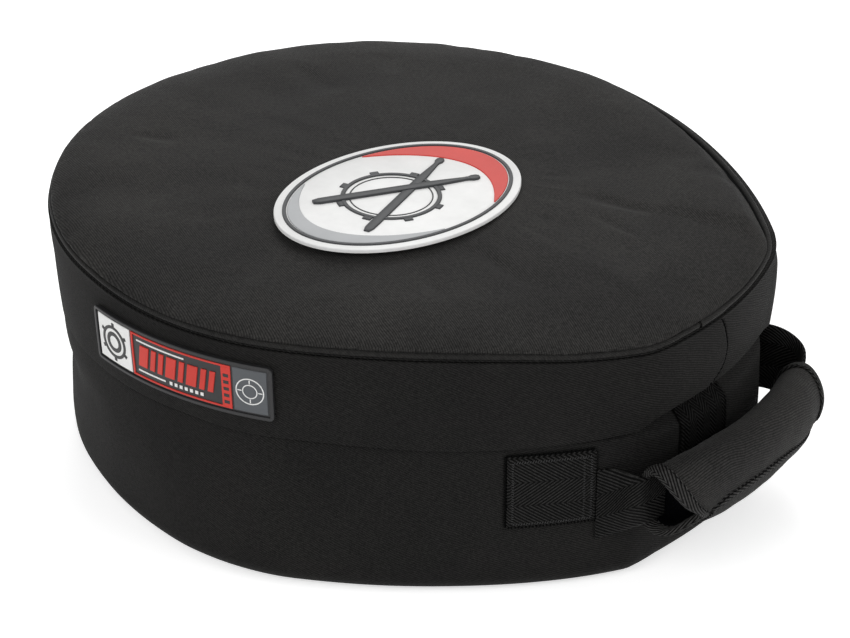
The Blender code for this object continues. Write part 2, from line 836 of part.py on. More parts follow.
def make_label(frame_rubber, face, parent):
    """A rubber label on the skirt, with a thinner printed face on its backing."""
    start = math.radians(label_start_deg)
    end = math.radians(label_end_deg)
    heights = [label_bottom, (label_bottom + label_top) / 2.0, label_top]
    back = [(skirt_inset(h) - clearance, h) for h in heights]
    front = [(i - label_backing, h) for i, h in back]
    ring_solid("label_backing", back + front[::-1], frame_rubber, parent, (start, end))
    margin = label_margin
    inset_angle = margin / round_radius
    heights = [label_bottom + margin, (label_bottom + label_top) / 2.0, label_top - margin]
    back = [(skirt_inset(h) - clearance - label_backing - clearance, h) for h in heights]
    front = [(i - label_face, h) for i, h in back]
    span = (start + inset_angle, end - inset_angle)
    ring_solid("label_face", back + front[::-1], face, parent, span)


def main():
    for obj in list(bpy.data.objects):
        bpy.data.objects.remove(obj)

    nylon = material("black_nylon", (0.021, 0.020, 0.019), 0.78)
    piping = material("piping_nylon", (0.024, 0.023, 0.022), 0.70)
    foam = material("padding_foam", (0.060, 0.060, 0.062), 0.95)
    lining = material("lining_cloth", (0.035, 0.035, 0.037), 0.85)
    webbing = material("black_webbing", (0.014, 0.014, 0.015), 0.70)
    binding = material("binding_tape", (0.020, 0.020, 0.020), 0.72)
    tape = material("zip_tape", (0.012, 0.012, 0.012), 0.80)
    coil = material("zip_coil", (0.018, 0.018, 0.018), 0.45)
    metal = material("slider_metal", (0.10, 0.10, 0.10), 0.35, 0.9)
    white = material("white_rubber", (0.80, 0.80, 0.80), 0.45)
    charcoal = material("charcoal_rubber", (0.045, 0.048, 0.052), 0.50)
    rubber = material("black_rubber", (0.016, 0.016, 0.016), 0.50)
    print_face = material("printed_face", (0.09, 0.09, 0.10), 0.50)

    lid_axis = axis_empty("lid_axis", (nose_tip - hinge_inset, 0.0, flap_edge_height + hinge_rise))
    make_body(nylon, foam, lining)
    make_lid(nylon, foam, lining, piping, lid_axis)
    make_zip(tape, coil, nylon, lid_axis)

    spread = math.radians(slider_gap_deg)
    for side, angle in (("left", math.pi - spread), ("right", math.pi + spread)):
        track = axis_empty(f"slider_axis_{side}", (0.0, 0.0, zip_height))
        pull_axis = axis_empty(f"pull_axis_{side}", pull_place(side, angle), track)
        make_slider(side, metal, track, angle)
        make_pull(side, metal, pull_axis, angle)

    handle_axis = axis_empty("handle_axis", (nose_tip - handle_axis_inset, 0.0, handle_axis_height))
    make_handle_mounts(webbing)
    make_grip(nylon, foam, webbing, binding, handle_axis)
    make_badge(white, charcoal, lid_axis)
    make_label(rubber, print_face, lid_axis)


main()
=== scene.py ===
import math

import bmesh
import bpy
from mathutils import Matrix, Vector, noise


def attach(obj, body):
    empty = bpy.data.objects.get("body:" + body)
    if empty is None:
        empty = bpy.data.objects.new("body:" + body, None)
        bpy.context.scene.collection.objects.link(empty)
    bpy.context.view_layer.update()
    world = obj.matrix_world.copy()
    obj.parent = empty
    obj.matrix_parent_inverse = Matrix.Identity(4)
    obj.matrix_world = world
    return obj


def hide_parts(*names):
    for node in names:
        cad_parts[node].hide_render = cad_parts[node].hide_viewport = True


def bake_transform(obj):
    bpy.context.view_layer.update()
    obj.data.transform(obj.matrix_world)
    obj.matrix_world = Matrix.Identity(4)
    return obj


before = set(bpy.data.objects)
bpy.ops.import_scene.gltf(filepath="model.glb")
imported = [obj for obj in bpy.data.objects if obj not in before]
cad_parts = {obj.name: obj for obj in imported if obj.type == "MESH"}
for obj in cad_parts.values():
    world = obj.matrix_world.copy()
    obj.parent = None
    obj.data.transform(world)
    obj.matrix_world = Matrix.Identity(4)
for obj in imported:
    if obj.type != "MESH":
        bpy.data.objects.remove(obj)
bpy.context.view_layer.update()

# Sizes shared with the solids, in metres

clearance = 0.0003
round_radius = 0.203
flank_radius = 0.376
corner_radius = 0.062
corner_x = 0.180
corner_y = 0.037
nose_radius = 0.2135
skirt_top = 0.1594
flap_edge = 0.0995
skirt_lean = 0.0026
zip_height = 0.1115
lid_bottom = 0.1119
wall_inset = 0.0052
wall_bulge = 0.0008
neck_inset = 0.0125
lining_outer = 0.0138
base_radius = 0.0120
shoulder_bottom = 0.0925
shoulder_top = 0.1030
floor_height = 0.0081
piping_radius = 0.0020
piping_inset = 0.0023
piping_height = 0.1609
webbing_width = 0.0465
webbing_thickness = 0.0018
handle_height = 0.0690
anchor_start = math.radians(42.6)
anchor_end = math.radians(50.5)
grip_half_length = 0.0790
grip_tilt = math.radians(-16.0)
grip_half_width = 0.0161
grip_half_depth = 0.0251
zip_start = math.radians(43.0)
hinge_reach = math.radians(34.0)
cloth_thickness = 0.0010
lining_thickness = 0.0008
base_inset = 0.0200
badge_turn = math.radians(76.0)
badge_x = 0.0385
badge_y = -0.0380
badge_long = 0.0815
badge_wide = 0.0605
badge_low = 0.1798
label_start = math.radians(-108.9)
label_end = math.radians(-72.3)
label_low = 0.1115
label_high = 0.1467


# The plan of the rim

def plan_arcs():
    """Centre, radius and far normal angle of each arc, from the nose to the back."""
    corner_distance = math.hypot(corner_x, corner_y)
    to_round = flank_radius - round_radius
    to_corner = flank_radius - corner_radius
    near = (to_round ** 2 - to_corner ** 2 + corner_distance ** 2) / (2.0 * corner_distance)
    across = math.sqrt(to_round ** 2 - near ** 2)
    ux = corner_x / corner_distance
    uy = corner_y / corner_distance
    flank_x = ux * near + uy * across
    flank_y = uy * near - ux * across
    nose_x = corner_x - math.sqrt((nose_radius - corner_radius) ** 2 - corner_y ** 2)
    round_from = math.atan2(-flank_y, -flank_x)
    flank_from = math.atan2(corner_y - flank_y, corner_x - flank_x)
    corner_from = math.atan2(corner_y, corner_x - nose_x)
    return (
        ((nose_x, 0.0), nose_radius, corner_from),
        ((corner_x, corner_y), corner_radius, flank_from),
        ((flank_x, flank_y), flank_radius, round_from),
        ((0.0, 0.0), round_radius, math.pi),
    )


ARCS = plan_arcs()
NOSE_TIP = ARCS[0][0][0] + nose_radius


def wrapped(angle):
    """The same direction, between minus pi and pi."""
    return math.atan2(math.sin(angle), math.cos(angle))


def at(angle, inset, height):
    """The point with this outward normal, inset from the rim's outline, at a height."""
    turned = wrapped(angle)
    for centre, radius, end in ARCS:
        if abs(turned) <= end + 1e-9:
            break
    x = centre[0] + (radius - inset) * math.cos(turned)
    y = centre[1] + (radius - inset) * math.sin(abs(turned))
    return Vector((x, math.copysign(y, turned), height))


def outward(angle):
    """Unit normal of the outline."""
    return Vector((math.cos(angle), math.sin(angle), 0.0))


def along(angle):
    """Length of the rim from the nose to this normal angle, negative on the front side."""
    left = abs(angle)
    total = 0.0
    start = 0.0
    for centre, radius, end in ARCS:
        step = min(left, end) - start
        if step <= 0.0:
            break
        total += radius * step
        start = end
    return math.copysign(total, angle)


def angle_at(length):
    """Normal angle at a length of the rim from the nose."""
    left = abs(length)
    start = 0.0
    for centre, radius, end in ARCS:
        span = radius * (end - start)
        if left <= span or end > 3.1:
            return math.copysign(start + left / radius, length)
        left -= span
        start = end
    return length


HALF = along(math.pi)


def ring_columns(count, dense=()):
    """Normal angles at even steps of the whole rim, from the back round by the front.
    dense names places, as degrees and a reach in metres, that get closer steps."""
    lengths = [-HALF + 2.0 * HALF * i / count for i in range(count)]
    for degrees, reach in dense:
        middle = along(math.radians(degrees))
        lengths = [s for s in lengths if abs(s - middle) > reach]
        steps = max(6, round(2.0 * reach / 0.0004))
        lengths += [middle - reach + 2.0 * reach * i / steps for i in range(steps + 1)]
    return [angle_at(s) for s in sorted(lengths)]


def span_columns(start, end, step=0.0028):
    """Normal angles at even steps between two of them."""
    a, b = along(start), along(end)
    count = max(2, round(abs(b - a) / step))
    return [angle_at(a + (b - a) * i / count) for i in range(count + 1)]


def smooth(t):
    """Eases from 0 to 1."""
    t = min(1.0, max(0.0, t))
    return t * t * (3.0 - 2.0 * t)


def table(rows, x):
    """Smooth value between the rows of a table."""
    if x <= rows[0][0]:
        return rows[0][1]
    if x >= rows[-1][0]:
        return rows[-1][1]
    i = 0
    while rows[i + 1][0] < x:
        i += 1
    (x0, y0), (x1, y1) = rows[i], rows[i + 1]
    before = rows[max(0, i - 1)]
    after = rows[min(len(rows) - 1, i + 2)]
    span = x1 - x0
    slope0 = (y1 - before[1]) / (x1 - before[0]) * span
    slope1 = (after[1] - y0) / (after[0] - x0) * span
    s = (x - x0) / span
    return (y0 * (2 * s ** 3 - 3 * s * s + 1) + slope0 * (s ** 3 - 2 * s * s + s)
            + y1 * (3 * s * s - 2 * s ** 3) + slope1 * (s ** 3 - s * s))


def wobble(p, size, seed=0.0):
    """Seeded smooth noise of a place, about -1 to 1."""
    return noise.noise(Vector((p.x / size + seed, p.y / size - seed, p.z / size + 0.37 * seed)))


# How the soft rim and the flap hang

RIM_DROP = ((-180, -0.0044), (-168, -0.0050), (-155, -0.0052), (-143, -0.0045), (-130, -0.0038),
            (-118, -0.0033), (-110, -0.0028), (-104, -0.0016), (-97, -0.0003), (-90, 0.0003), (-80, 0.0004),
            (-70, 0.0), (-61, -0.0003), (-55, 0.0002), (-50, 0.0016), (-45, 0.0042), (-40, 0.0054),
            (-30, 0.0048), (-16, 0.0030), (-6, 0.0018), (0, 0.0009), (10, -0.0006), (28, -0.0030),
            (43, -0.0050), (54, -0.0062), (62, -0.0068), (70, -0.0062), (80, -0.0060), (90, -0.0048),
            (99, -0.0034), (108, -0.0030), (118, -0.0034), (130, -0.0032), (150, -0.0034), (168, -0.0036),
            (180, -0.0044))
FLAP_EDGE = ((-180, 0.0995), (-135, 0.0990), (-120, 0.0990), (-105, 0.1000), (-90, 0.1000), (-78, 0.0988),
             (-65, 0.0993), (-55, 0.0978), (-47, 0.0980), (-39, 0.1008), (-28, 0.1070), (-14, 0.1100),
             (0, 0.1110), (14, 0.1106), (28, 0.1070), (39, 0.1016), (50, 0.1000), (62, 0.0995),
             (180, 0.0995))
BASE_SWAY = ((-180, 0.0010), (-150, -0.0008), (-135, -0.0022), (-120, -0.0038), (-110, -0.0030),
             (-100, -0.0010), (-90, 0.0022), (-75, 0.0044), (-64, 0.0030), (-55, 0.0016), (-48, 0.0012),
             (-43, 0.0006), (-38, -0.0010), (-31, -0.0030), (-22, -0.0048), (-12, -0.0058), (-4, -0.0046),
             (6, -0.0016), (20, 0.0), (150, 0.0), (180, 0.0010))
SIDE_SWELL = ((-180, 0.3), (-165, 0.7), (-150, 1.0), (-132, 1.0), (-118, 0.4), (-106, 0.0), (150, 0.0),
              (180, 0.3))
WALL_DRAW = ((0.0, 0.0), (0.020, -0.0004), (0.0355, 0.0010), (0.050, 0.0024), (0.064, 0.0044),
             (0.072, 0.0036), (0.079, 0.0015), (0.090, 0.0003), (0.0995, 0.0), (0.12, 0.0))
NOSE_SWELL = ((-4, 0.0), (12, 0.3), (26, 1.0), (52, 1.0), (66, 0.3), (80, 0.0))
ROLL_IN = ((-180, 0.0), (0, 0.0), (20, 0.30), (36, 0.75), (55, 1.05), (75, 1.20), (90, 1.05), (102, 0.50),
           (115, 0.0), (180, 0.0))


def by_angle(rows, angle):
    """A table's value at a normal angle. Its rows are in degrees."""
    return table(rows, math.degrees(wrapped(angle)))


def rim_drop(angle):
    """How far the rim sags."""
    return by_angle(RIM_DROP, angle)


def roll_in(angle):
    """How far the rim's seam rolls inwards, so that the piping shows from the far side."""
    return by_angle(ROLL_IN, angle)


def flap_height(angle):
    """Height of the flap's lower edge."""
    return by_angle(FLAP_EDGE, angle) + 0.0003 * wobble(at(angle, 0.0, 0.0), 0.07, 3.0)


def base_sway(angle, height):
    """How far the wall stands out or in towards the base."""
    return smooth((0.088 - height) / 0.078) * by_angle(BASE_SWAY, angle)


def nose_share(angle):
    """1 at the nose, falling smoothly to 0 on the flanks."""
    return smooth(1.0 - (abs(wrapped(angle)) - math.radians(24.0)) / math.radians(32.0))


def skirt_face(angle, height):
    """Inset of the skirt's outer face."""
    low = flap_height(angle)
    t = min(1.0, max(0.0, (skirt_top - height) / (skirt_top - low)))
    inset = skirt_lean * t * (0.45 + 0.55 * t)
    p = at(angle, 0.0, height)
    calm = smooth((skirt_top - height) / 0.012)
    wave = 0.0009 * wobble(p, 0.085, 1.0) + 0.0004 * wobble(p, 0.031, 2.0)
    inset += 0.0010 * by_angle(SIDE_SWELL, angle) * smooth((0.156 - height) / 0.020)
    inset -= 0.0010 * roll_in(angle) * smooth((height - 0.146) / 0.008)
    nose = 0.0024 * by_angle(NOSE_SWELL, angle)
    inset -= nose * smooth((0.158 - height) / 0.012) * smooth((height - 0.096) / 0.012)
    belly = 0.0007 * calm * math.sin(math.pi * t) * (0.5 + 0.5 * wobble(p, 0.2, 5.0))
    return inset - wave * calm - belly


def wall_rows(nose):
    """Insets and heights up the outer face of the body wall, from the base seam to the zip."""
    rows = []
    for i in range(11):
        turn = math.radians(12.0 + 78.0 * i / 10.0)
        rows.append((wall_inset + base_radius * (1.0 - math.sin(turn)),
                     base_radius * (1.0 - math.cos(turn))))
    low = shoulder_bottom + 0.0048 * (1.0 - nose)
    top = shoulder_top + 0.0034 * (1.0 - nose)
    full = wall_inset - 0.0006 * (1.0 - nose)
    for i in range(1, 25):
        t = i / 24.0
        bulge = wall_bulge * math.sin(math.pi * t) ** 1.5
        rows.append((wall_inset + (full - wall_inset) * t - bulge, base_radius + (low - base_radius) * t))
    for i in range(1, 11):
        t = i / 10.0
        rows.append((full + (neck_inset - full) * smooth(t), low + (top - low) * t))
    return rows + [(neck_inset, 0.1085), (neck_inset, 0.1112)]


WALLS = [wall_rows(i / 40.0) for i in range(41)]


def wall_for(angle):
    """The wall's rows at a normal angle."""
    return WALLS[round(40.0 * nose_share(angle))]


# First and last normal angle, low and high edge of the webbing that is sewn on the wall
PATCHES = ((-50.5, -42.6, 0.0457, 0.0923), (42.6, 50.5, 0.0457, 0.0923), (-12.1, 0.0, 0.0500, 0.1060))


def patch_edge(angle, height):
    """1 along the border of the webbing sewn on the wall, falling off within some millimetres."""
    degrees = math.degrees(wrapped(angle))
    best = 1.0
    for first, last, low, high in PATCHES:
        if abs(degrees - (first + last) / 2.0) > 14.0:
            continue
        scale = math.radians(1.0) * (flank_radius if abs(degrees) > 30.0 else nose_radius)
        across = max((first - degrees), (degrees - last)) * scale
        up = max(low - height, height - high)
        outside = math.hypot(max(across, 0.0), max(up, 0.0))
        best = min(best, outside if outside > 0.0 else -max(across, up))
    return math.exp(-(best / 0.0016) ** 2)


def wall_wave(angle, height, patched=False):
    """How far the wall's cloth stands out of its plain form."""
    p = at(angle, 0.0, height)
    calm = smooth((height - 0.003) / 0.015) * smooth((0.099 - height) / 0.012)
    from_anchor = abs(abs(math.degrees(wrapped(angle))) - 46.5)
    calm *= 0.25 + 0.75 * smooth((from_anchor - 4.0) / 8.0)
    out = calm * (0.0004 + 0.0008 * wobble(p, 0.095, 11.0) + 0.0003 * wobble(p, 0.035, 12.0))
    out += base_sway(angle, height)
    out -= by_angle(SIDE_SWELL, angle) * table(WALL_DRAW, height)
    return out if patched else out - 0.0009 * patch_edge(angle, height)


def wall_inset_at(angle, height):
    """Inset of the plain wall at a height."""
    rows = wall_for(angle)
    for near, far in zip(rows, rows[1:]):
        if near[1] <= height <= far[1]:
            t = (height - near[1]) / max(1e-9, far[1] - near[1])
            return near[0] + (far[0] - near[0]) * t
    return rows[-1][0] if height > rows[-1][1] else rows[0][0]


def wall_at(angle, height, out=0.0):
    """A point on the wall's cloth, moved outwards."""
    return at(angle, wall_inset_at(angle, height) - wall_wave(angle, height, True) - out, height)


# Meshes

def finish_mesh(name, verts, faces, mat, uvs=None, sharp=50.0):
    """Makes an object with outward faces. uvs holds one pair for each corner of each face."""
    mesh = bpy.data.meshes.new(name)
    mesh.from_pydata([tuple(v) for v in verts], [], faces)
    if uvs is not None:
        layer = mesh.uv_layers.new(name="UVMap")
        layer.data.foreach_set("uv", [value for corner in uvs for value in corner])
    bm = bmesh.new()
    bm.from_mesh(mesh)
    bmesh.ops.recalc_face_normals(bm, faces=bm.faces)
    bm.to_mesh(mesh)
    bm.free()
    mesh.materials.append(mat)
    mesh.shade_smooth()
    mesh.set_sharp_from_angle(angle=math.radians(sharp))
    obj = bpy.data.objects.new(name, mesh)
    bpy.context.collection.objects.link(obj)
    return obj


def dress(obj, body, nodes=()):
    """Ties a piece to its body and the solids that it stands for."""
    if body is not None:
        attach(obj, body)
    if nodes:
        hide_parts(*nodes)
    return obj


def bands(faces, first, rings, count):
    """Adds the quads between closed rings of points that follow one another."""
    for r in range(rings - 1):
        p = first + r * count
        for i in range(count):
            k = (i + 1) % count
            faces.append((p + i, p + k, p + count + k, p + count + i))


def closed_bands(faces, first, rings, count):
    """The same quads, with a face over each end."""
    bands(faces, first, rings, count)
    faces.append(tuple(first + i for i in range(count))[::-1])
    faces.append(tuple(first + (rings - 1) * count + i for i in range(count)))


def fan(verts, faces, first, count):
    """Closes a ring of points with faces round their middle."""
    verts.append(sum((verts[first + i] for i in range(count)), Vector()) / count)
    faces += [(first + i, first + (i + 1) % count, len(verts) - 1) for i in range(count)]


def grid(name, points, mat, u=None, v=None, ring=False, loop=False, caps=False, sharp=50.0):
    """Skins columns of points. ring joins the last column to the first, loop closes each column."""
    count, rows = len(points), len(points[0])
    if u is None:
        u = [0.0]
        for a, b in zip(points, points[1:] + points[:1]):
            u.append(u[-1] + (b[rows // 2] - a[rows // 2]).length)
    if v is None:
        v = []
        for column in points:
            v.append([0.0])
            for a, b in zip(column, column[1:] + column[:1]):
                v[-1].append(v[-1][-1] + (b - a).length)
    faces, uvs = [], []
    for i in range(count if ring else count - 1):
        k = (i + 1) % count
        for j in range(rows if loop else rows - 1):
            m = (j + 1) % rows
            faces.append((i * rows + j, k * rows + j, k * rows + m, i * rows + m))
            uvs += [(u[i], v[i][j]), (u[i + 1], v[k][j]), (u[i + 1], v[k][j + 1]), (u[i], v[i][j + 1])]
    if caps:
        for i, order in ((0, 1), (count - 1, -1)):
            faces.append(tuple(i * rows + j for j in range(rows))[::order])
            uvs += [(u[i], v[i][j]) for j in range(rows)][::order]
    return finish_mesh(name, [p for column in points for p in column], faces, mat, uvs, sharp)


def swept(name, columns, profile, mat, sharp=50.0):
    """Carries a closed profile of (inset, height) rows round the whole rim."""
    points = [[at(a, inset, height) for inset, height in profile(a)] for a in columns]
    u = [along(a) for a in columns]
    return grid(name, points, mat, u=u + [u[0] + 2.0 * HALF], ring=True, loop=True, sharp=sharp)


PLAN_CENTRE = Vector(((NOSE_TIP - round_radius) / 2.0, 0.0, 0.0))


def disc(name, rows, mat, count, sway=False):
    """A filled panel of (inset, height, share) rings. A height may be a function of place."""
    columns = ring_columns(count)
    verts, faces = [], []
    for inset, height, share in rows:
        for a in columns:
            out = base_sway(a, 0.0) if sway else 0.0
            p = PLAN_CENTRE + (at(a, inset - out, 0.0) - PLAN_CENTRE) * share
            p.z = height(p) if callable(height) else height
            verts.append(p)
    bands(faces, 0, len(rows), count)
    fan(verts, faces, 0, count)
    fan(verts, faces, (len(rows) - 1) * count, count)
    return finish_mesh(name, verts, faces, mat, [(verts[i].x, verts[i].y) for face in faces for i in face])


def thicken(outer, thickness):
    """A closed profile from the rows of one face, with the other face further in."""
    inner = []
    for j, row in enumerate(outer):
        a = outer[max(0, j - 1)]
        b = outer[min(len(outer) - 1, j + 1)]
        dx, dz = b[0] - a[0], b[1] - a[1]
        size = math.hypot(dx, dz) or 1.0
        inner.append((row[0] + thickness * dz / size, row[1] - thickness * dx / size))
    return outer + inner[::-1]


def resampled(path, step):
    """Points and normals at even steps of a polyline of (point, normal) pairs."""
    lengths = [0.0]
    for (a, _), (b, _) in zip(path, path[1:]):
        lengths.append(lengths[-1] + (b - a).length)
    count = max(1, int(lengths[-1] / step))
    out = []
    j = 0
    for i in range(count + 1):
        want = lengths[-1] * i / count
        while j < len(path) - 2 and lengths[j + 1] < want:
            j += 1
        t = (want - lengths[j]) / max(1e-9, lengths[j + 1] - lengths[j])
        (a, na), (b, nb) = path[j], path[j + 1]
        out.append((a.lerp(b, t), na.lerp(nb, t).normalized()))
    return out


# Place along a stitch, thickness and height, as shares of its length and radius
STITCH = ((-0.5, 0.35, -1.2), (-0.36, 0.85, -0.1), (0.0, 1.0, 0.25), (0.36, 0.85, -0.1), (0.5, 0.35, -1.2))


def stitches(name, paths, mat, body, length=0.0026, gap=0.0010, radius=0.00028, slant=0.0, lift=0.0001):
    """Rows of short threads along paths, each one arched with its ends sunk in the cloth."""
    verts, faces = [], []
    sides = 6
    for path in paths:
        stops = resampled(path, length + gap)
        for (a, na), (b, nb) in zip(stops, stops[1:]):
            middle = (a + b) / 2.0
            normal = (na + nb).normalized()
            direction = (b - a).normalized()
            if slant:
                direction = Matrix.Rotation(slant, 3, normal) @ direction
            side = normal.cross(direction).normalized()
            closed_bands(faces, len(verts), len(STITCH), sides)
            for share, thick, high in STITCH:
                centre = middle + direction * (share * length) + normal * (lift + radius * high)
                for k in range(sides):
                    turn = 2.0 * math.pi * k / sides
                    verts.append(centre + side * (radius * thick * math.cos(turn))
                                 + normal * (radius * thick * math.sin(turn)))
    return dress(finish_mesh(name, verts, faces, mat, None, 60.0), body)


# Materials

def node(tree, kind, inputs=(), **settings):
    """One shader node, with its settings, and numbers, colours or links on its inputs."""
    made = tree.nodes.new("ShaderNode" + kind)
    for key, value in settings.items():
        setattr(made, key, value)
    for key, value in inputs:
        if hasattr(value, "is_output"):
            tree.links.new(value, made.inputs[key])
        else:
            made.inputs[key].default_value = (*value, 1.0) if isinstance(value, tuple) else value
    return made


class Shader:
    """Wires one Principled material."""

    def __init__(self, name, rough, sheen=0.0, sheen_rough=0.4, metal=0.0, specular=0.5):
        self.mat = bpy.data.materials.new(name)
        self.mat.use_nodes = True
        self.tree = self.mat.node_tree
        self.bsdf = self.tree.nodes["Principled BSDF"]
        for key, value in (("Roughness", rough), ("Sheen Weight", sheen), ("Sheen Roughness", sheen_rough),
                           ("Metallic", metal), ("Specular IOR Level", specular)):
            self.bsdf.inputs[key].default_value = value
        self.coords = self.tree.nodes.new("ShaderNodeTexCoord")

    def math(self, op, *values):
        """One math node."""
        return node(self.tree, "Math", enumerate(values), operation=op).outputs[0]

    def axes(self, kind):
        """The two coordinates, in metres, that a weave follows."""
        parts = node(self.tree, "SeparateXYZ", [(0, self.coords.outputs[kind])])
        return parts.outputs[0], parts.outputs[1]

    def noise(self, scale, detail=2.0, rough=0.5):
        """Noise in object space."""
        inputs = (("Scale", scale), ("Detail", detail), ("Roughness", rough),
                  ("Vector", self.coords.outputs["Object"]))
        return node(self.tree, "TexNoise", inputs).outputs["Fac"]

    def mix(self, factor, a, b, blend="MIX"):
        """Colour mix."""
        inputs = ((0, factor), (6, a), (7, b))
        return node(self.tree, "Mix", inputs, data_type="RGBA", blend_type=blend).outputs[2]

    def ramp(self, value, low, high):
        """Rescales low..high to 0..1, clamped."""
        inputs = (("From Min", low), ("From Max", high), ("Value", value))
        return node(self.tree, "MapRange", inputs).outputs[0]

    def speckled(self, colour, scale, detail, rough, low, high, dark, light):
        """A colour times a cloudy noise between two tones."""
        share = self.ramp(self.noise(scale, detail, rough), low, high)
        return self.mix(1.0, colour, self.mix(share, dark, light), "MULTIPLY")

    def bump(self, height, distance, strength=1.0, after=None):
        """One bump node."""
        inputs = [("Strength", strength), ("Distance", distance), ("Height", height)]
        return node(self.tree, "Bump",
                    inputs + ([("Normal", after)] if after is not None else [])).outputs[0]

    def done(self, colour, normal, rough=None):
        """Joins colour, normal and roughness and returns the material."""
        for key, value in (("Base Color", colour), ("Normal", normal), ("Roughness", rough)):
            if value is not None:
                self.tree.links.new(value, self.bsdf.inputs[key])
        return self.mat


def ridges(s, x, y, pitch, turn):
    """Rounded ridges at an angle, 0 in the valleys and 1 on top."""
    a = s.math("MULTIPLY", x, math.cos(turn) * math.pi / pitch)
    b = s.math("MULTIPLY_ADD", y, math.sin(turn) * math.pi / pitch, a)
    return s.math("ABSOLUTE", s.math("SINE", b))


def tones(tone, tint, contrast):
    """The dark and the light tone of a weave."""
    return [tuple(tone * c * (1.0 + share) for c in tint) for share in (-contrast, contrast)]


def twill(name, tone, coords="UV", pitch=0.0016, turn=35.0, contrast=0.60, sheen=0.05, rough=0.78,
          depth=0.00030):
    """Nylon or polyester twill: fine slanted ribs crossed by a finer thread."""
    s = Shader(name, rough, sheen=sheen, sheen_rough=0.30, specular=0.10)
    x, y = s.axes(coords)
    x = s.math("MULTIPLY_ADD", s.noise(60.0), 0.0030, x)
    y = s.math("MULTIPLY_ADD", s.noise(47.0), 0.0030, y)
    rib = ridges(s, x, y, pitch, math.radians(turn))
    fine_rib = ridges(s, x, y, pitch * 0.52, math.radians(turn + 78.0))
    weave = s.math("MULTIPLY_ADD", fine_rib, 0.35, s.math("MULTIPLY", rib, 0.65))
    base = s.mix(weave, *tones(tone, (1.0, 0.97, 0.94), contrast))
    worn = s.speckled(base, 14.0, 4.0, 0.55, 0.35, 0.72, (0.84, 0.84, 0.85), (1.16, 1.15, 1.13))
    grain = s.speckled(worn, 620.0, 2.0, 0.65, 0.32, 0.70, (0.62, 0.62, 0.62), (1.40, 1.40, 1.38))
    soft = s.bump(s.noise(55.0, 3.0, 0.55), 0.0009, 0.35, s.bump(weave, depth, 0.8))
    return s.done(grain, soft, s.math("MULTIPLY_ADD", weave, -0.12, rough + 0.06))


def herringbone(name, tone, column=0.0046, pitch=0.0019, slope=1.0, tint=(1.0, 0.98, 0.95), contrast=0.55,
                depth=0.00055, swap=False, sheen=0.0, specular=0.06):
    """Webbing or tape woven in slanted ribs that turn at each column."""
    rough = 0.66
    s = Shader(name, rough, sheen=sheen, sheen_rough=0.30, specular=specular)
    x, y = s.axes("UV")
    if swap:
        x, y = y, x
    fold = s.math("PINGPONG", y, column)
    rib = ridges(s, s.math("MULTIPLY_ADD", fold, slope, x), y, pitch, 0.0)
    border = s.math("SINE", s.math("MULTIPLY", y, math.pi / column))
    border = s.ramp(s.math("ABSOLUTE", border), 0.0, 0.12)
    height = s.math("MULTIPLY", s.math("POWER", rib, 2.2), s.math("MULTIPLY_ADD", border, 0.45, 0.55))
    base = s.mix(height, *tones(tone, tint, contrast))
    fuzz = s.speckled(base, 600.0, 3.0, 0.6, 0.3, 0.75, (0.55, 0.55, 0.55), (1.45, 1.45, 1.45))
    return s.done(fuzz, s.bump(height, depth, 0.9), s.math("MULTIPLY_ADD", height, -0.15, rough + 0.08))


def rubber(name, colour, rough=0.5):
    """Moulded rubber with a faint grain and slight colour variation."""
    s = Shader(name, rough, specular=0.4)
    low = tuple(c * 0.93 for c in colour)
    high = tuple(min(1.0, c * 1.05) for c in colour)
    base = s.mix(s.ramp(s.noise(40.0, 4.0, 0.6), 0.3, 0.7), low, high)
    grain = s.noise(1800.0, 2.0, 0.6)
    return s.done(base, s.bump(grain, 0.00006, 0.5), s.math("MULTIPLY_ADD", grain, 0.15, rough - 0.07))


def thread(name, tone):
    """Twisted sewing thread."""
    s = Shader(name, 0.8, specular=0.05)
    base = s.mix(s.ramp(s.noise(1500.0), 0.3, 0.7), (tone * 0.7,) * 3, (tone * 1.3,) * 3)
    return s.done(base, s.bump(s.noise(2600.0, 1.0), 0.00008, 0.6))


def metal(name, colour):
    """Painted or plated zip metal, worn a little."""
    rough = 0.34
    s = Shader(name, rough, metal=1.0)
    worn = s.ramp(s.noise(220.0, 5.0, 0.65), 0.45, 0.75)
    base = s.mix(worn, colour, tuple(min(1.0, c * 1.5 + 0.02) for c in colour))
    return s.done(base, s.bump(s.noise(700.0, 3.0, 0.6), 0.00004, 0.5),
                  s.math("MULTIPLY_ADD", worn, 0.18, rough - 0.05))


def lining_cloth(name, tone):
    """Thin plain-woven lining with a soft shine."""
    s = Shader(name, 0.58, sheen=0.05, specular=0.4)
    x, y = s.axes("UV")
    warp = ridges(s, x, y, 0.0007, 0.0)
    weft = ridges(s, x, y, 0.0007, math.pi / 2.0)
    weave = s.math("MULTIPLY_ADD", warp, 0.5, s.math("MULTIPLY", weft, 0.5))
    base = s.mix(weave, (tone * 0.7, tone * 0.7, tone * 0.72), (tone * 1.25, tone * 1.25, tone * 1.28))
    return s.done(base, s.bump(s.noise(38.0, 4.0, 0.6), 0.0016, 0.5, s.bump(weave, 0.0001, 0.6)))


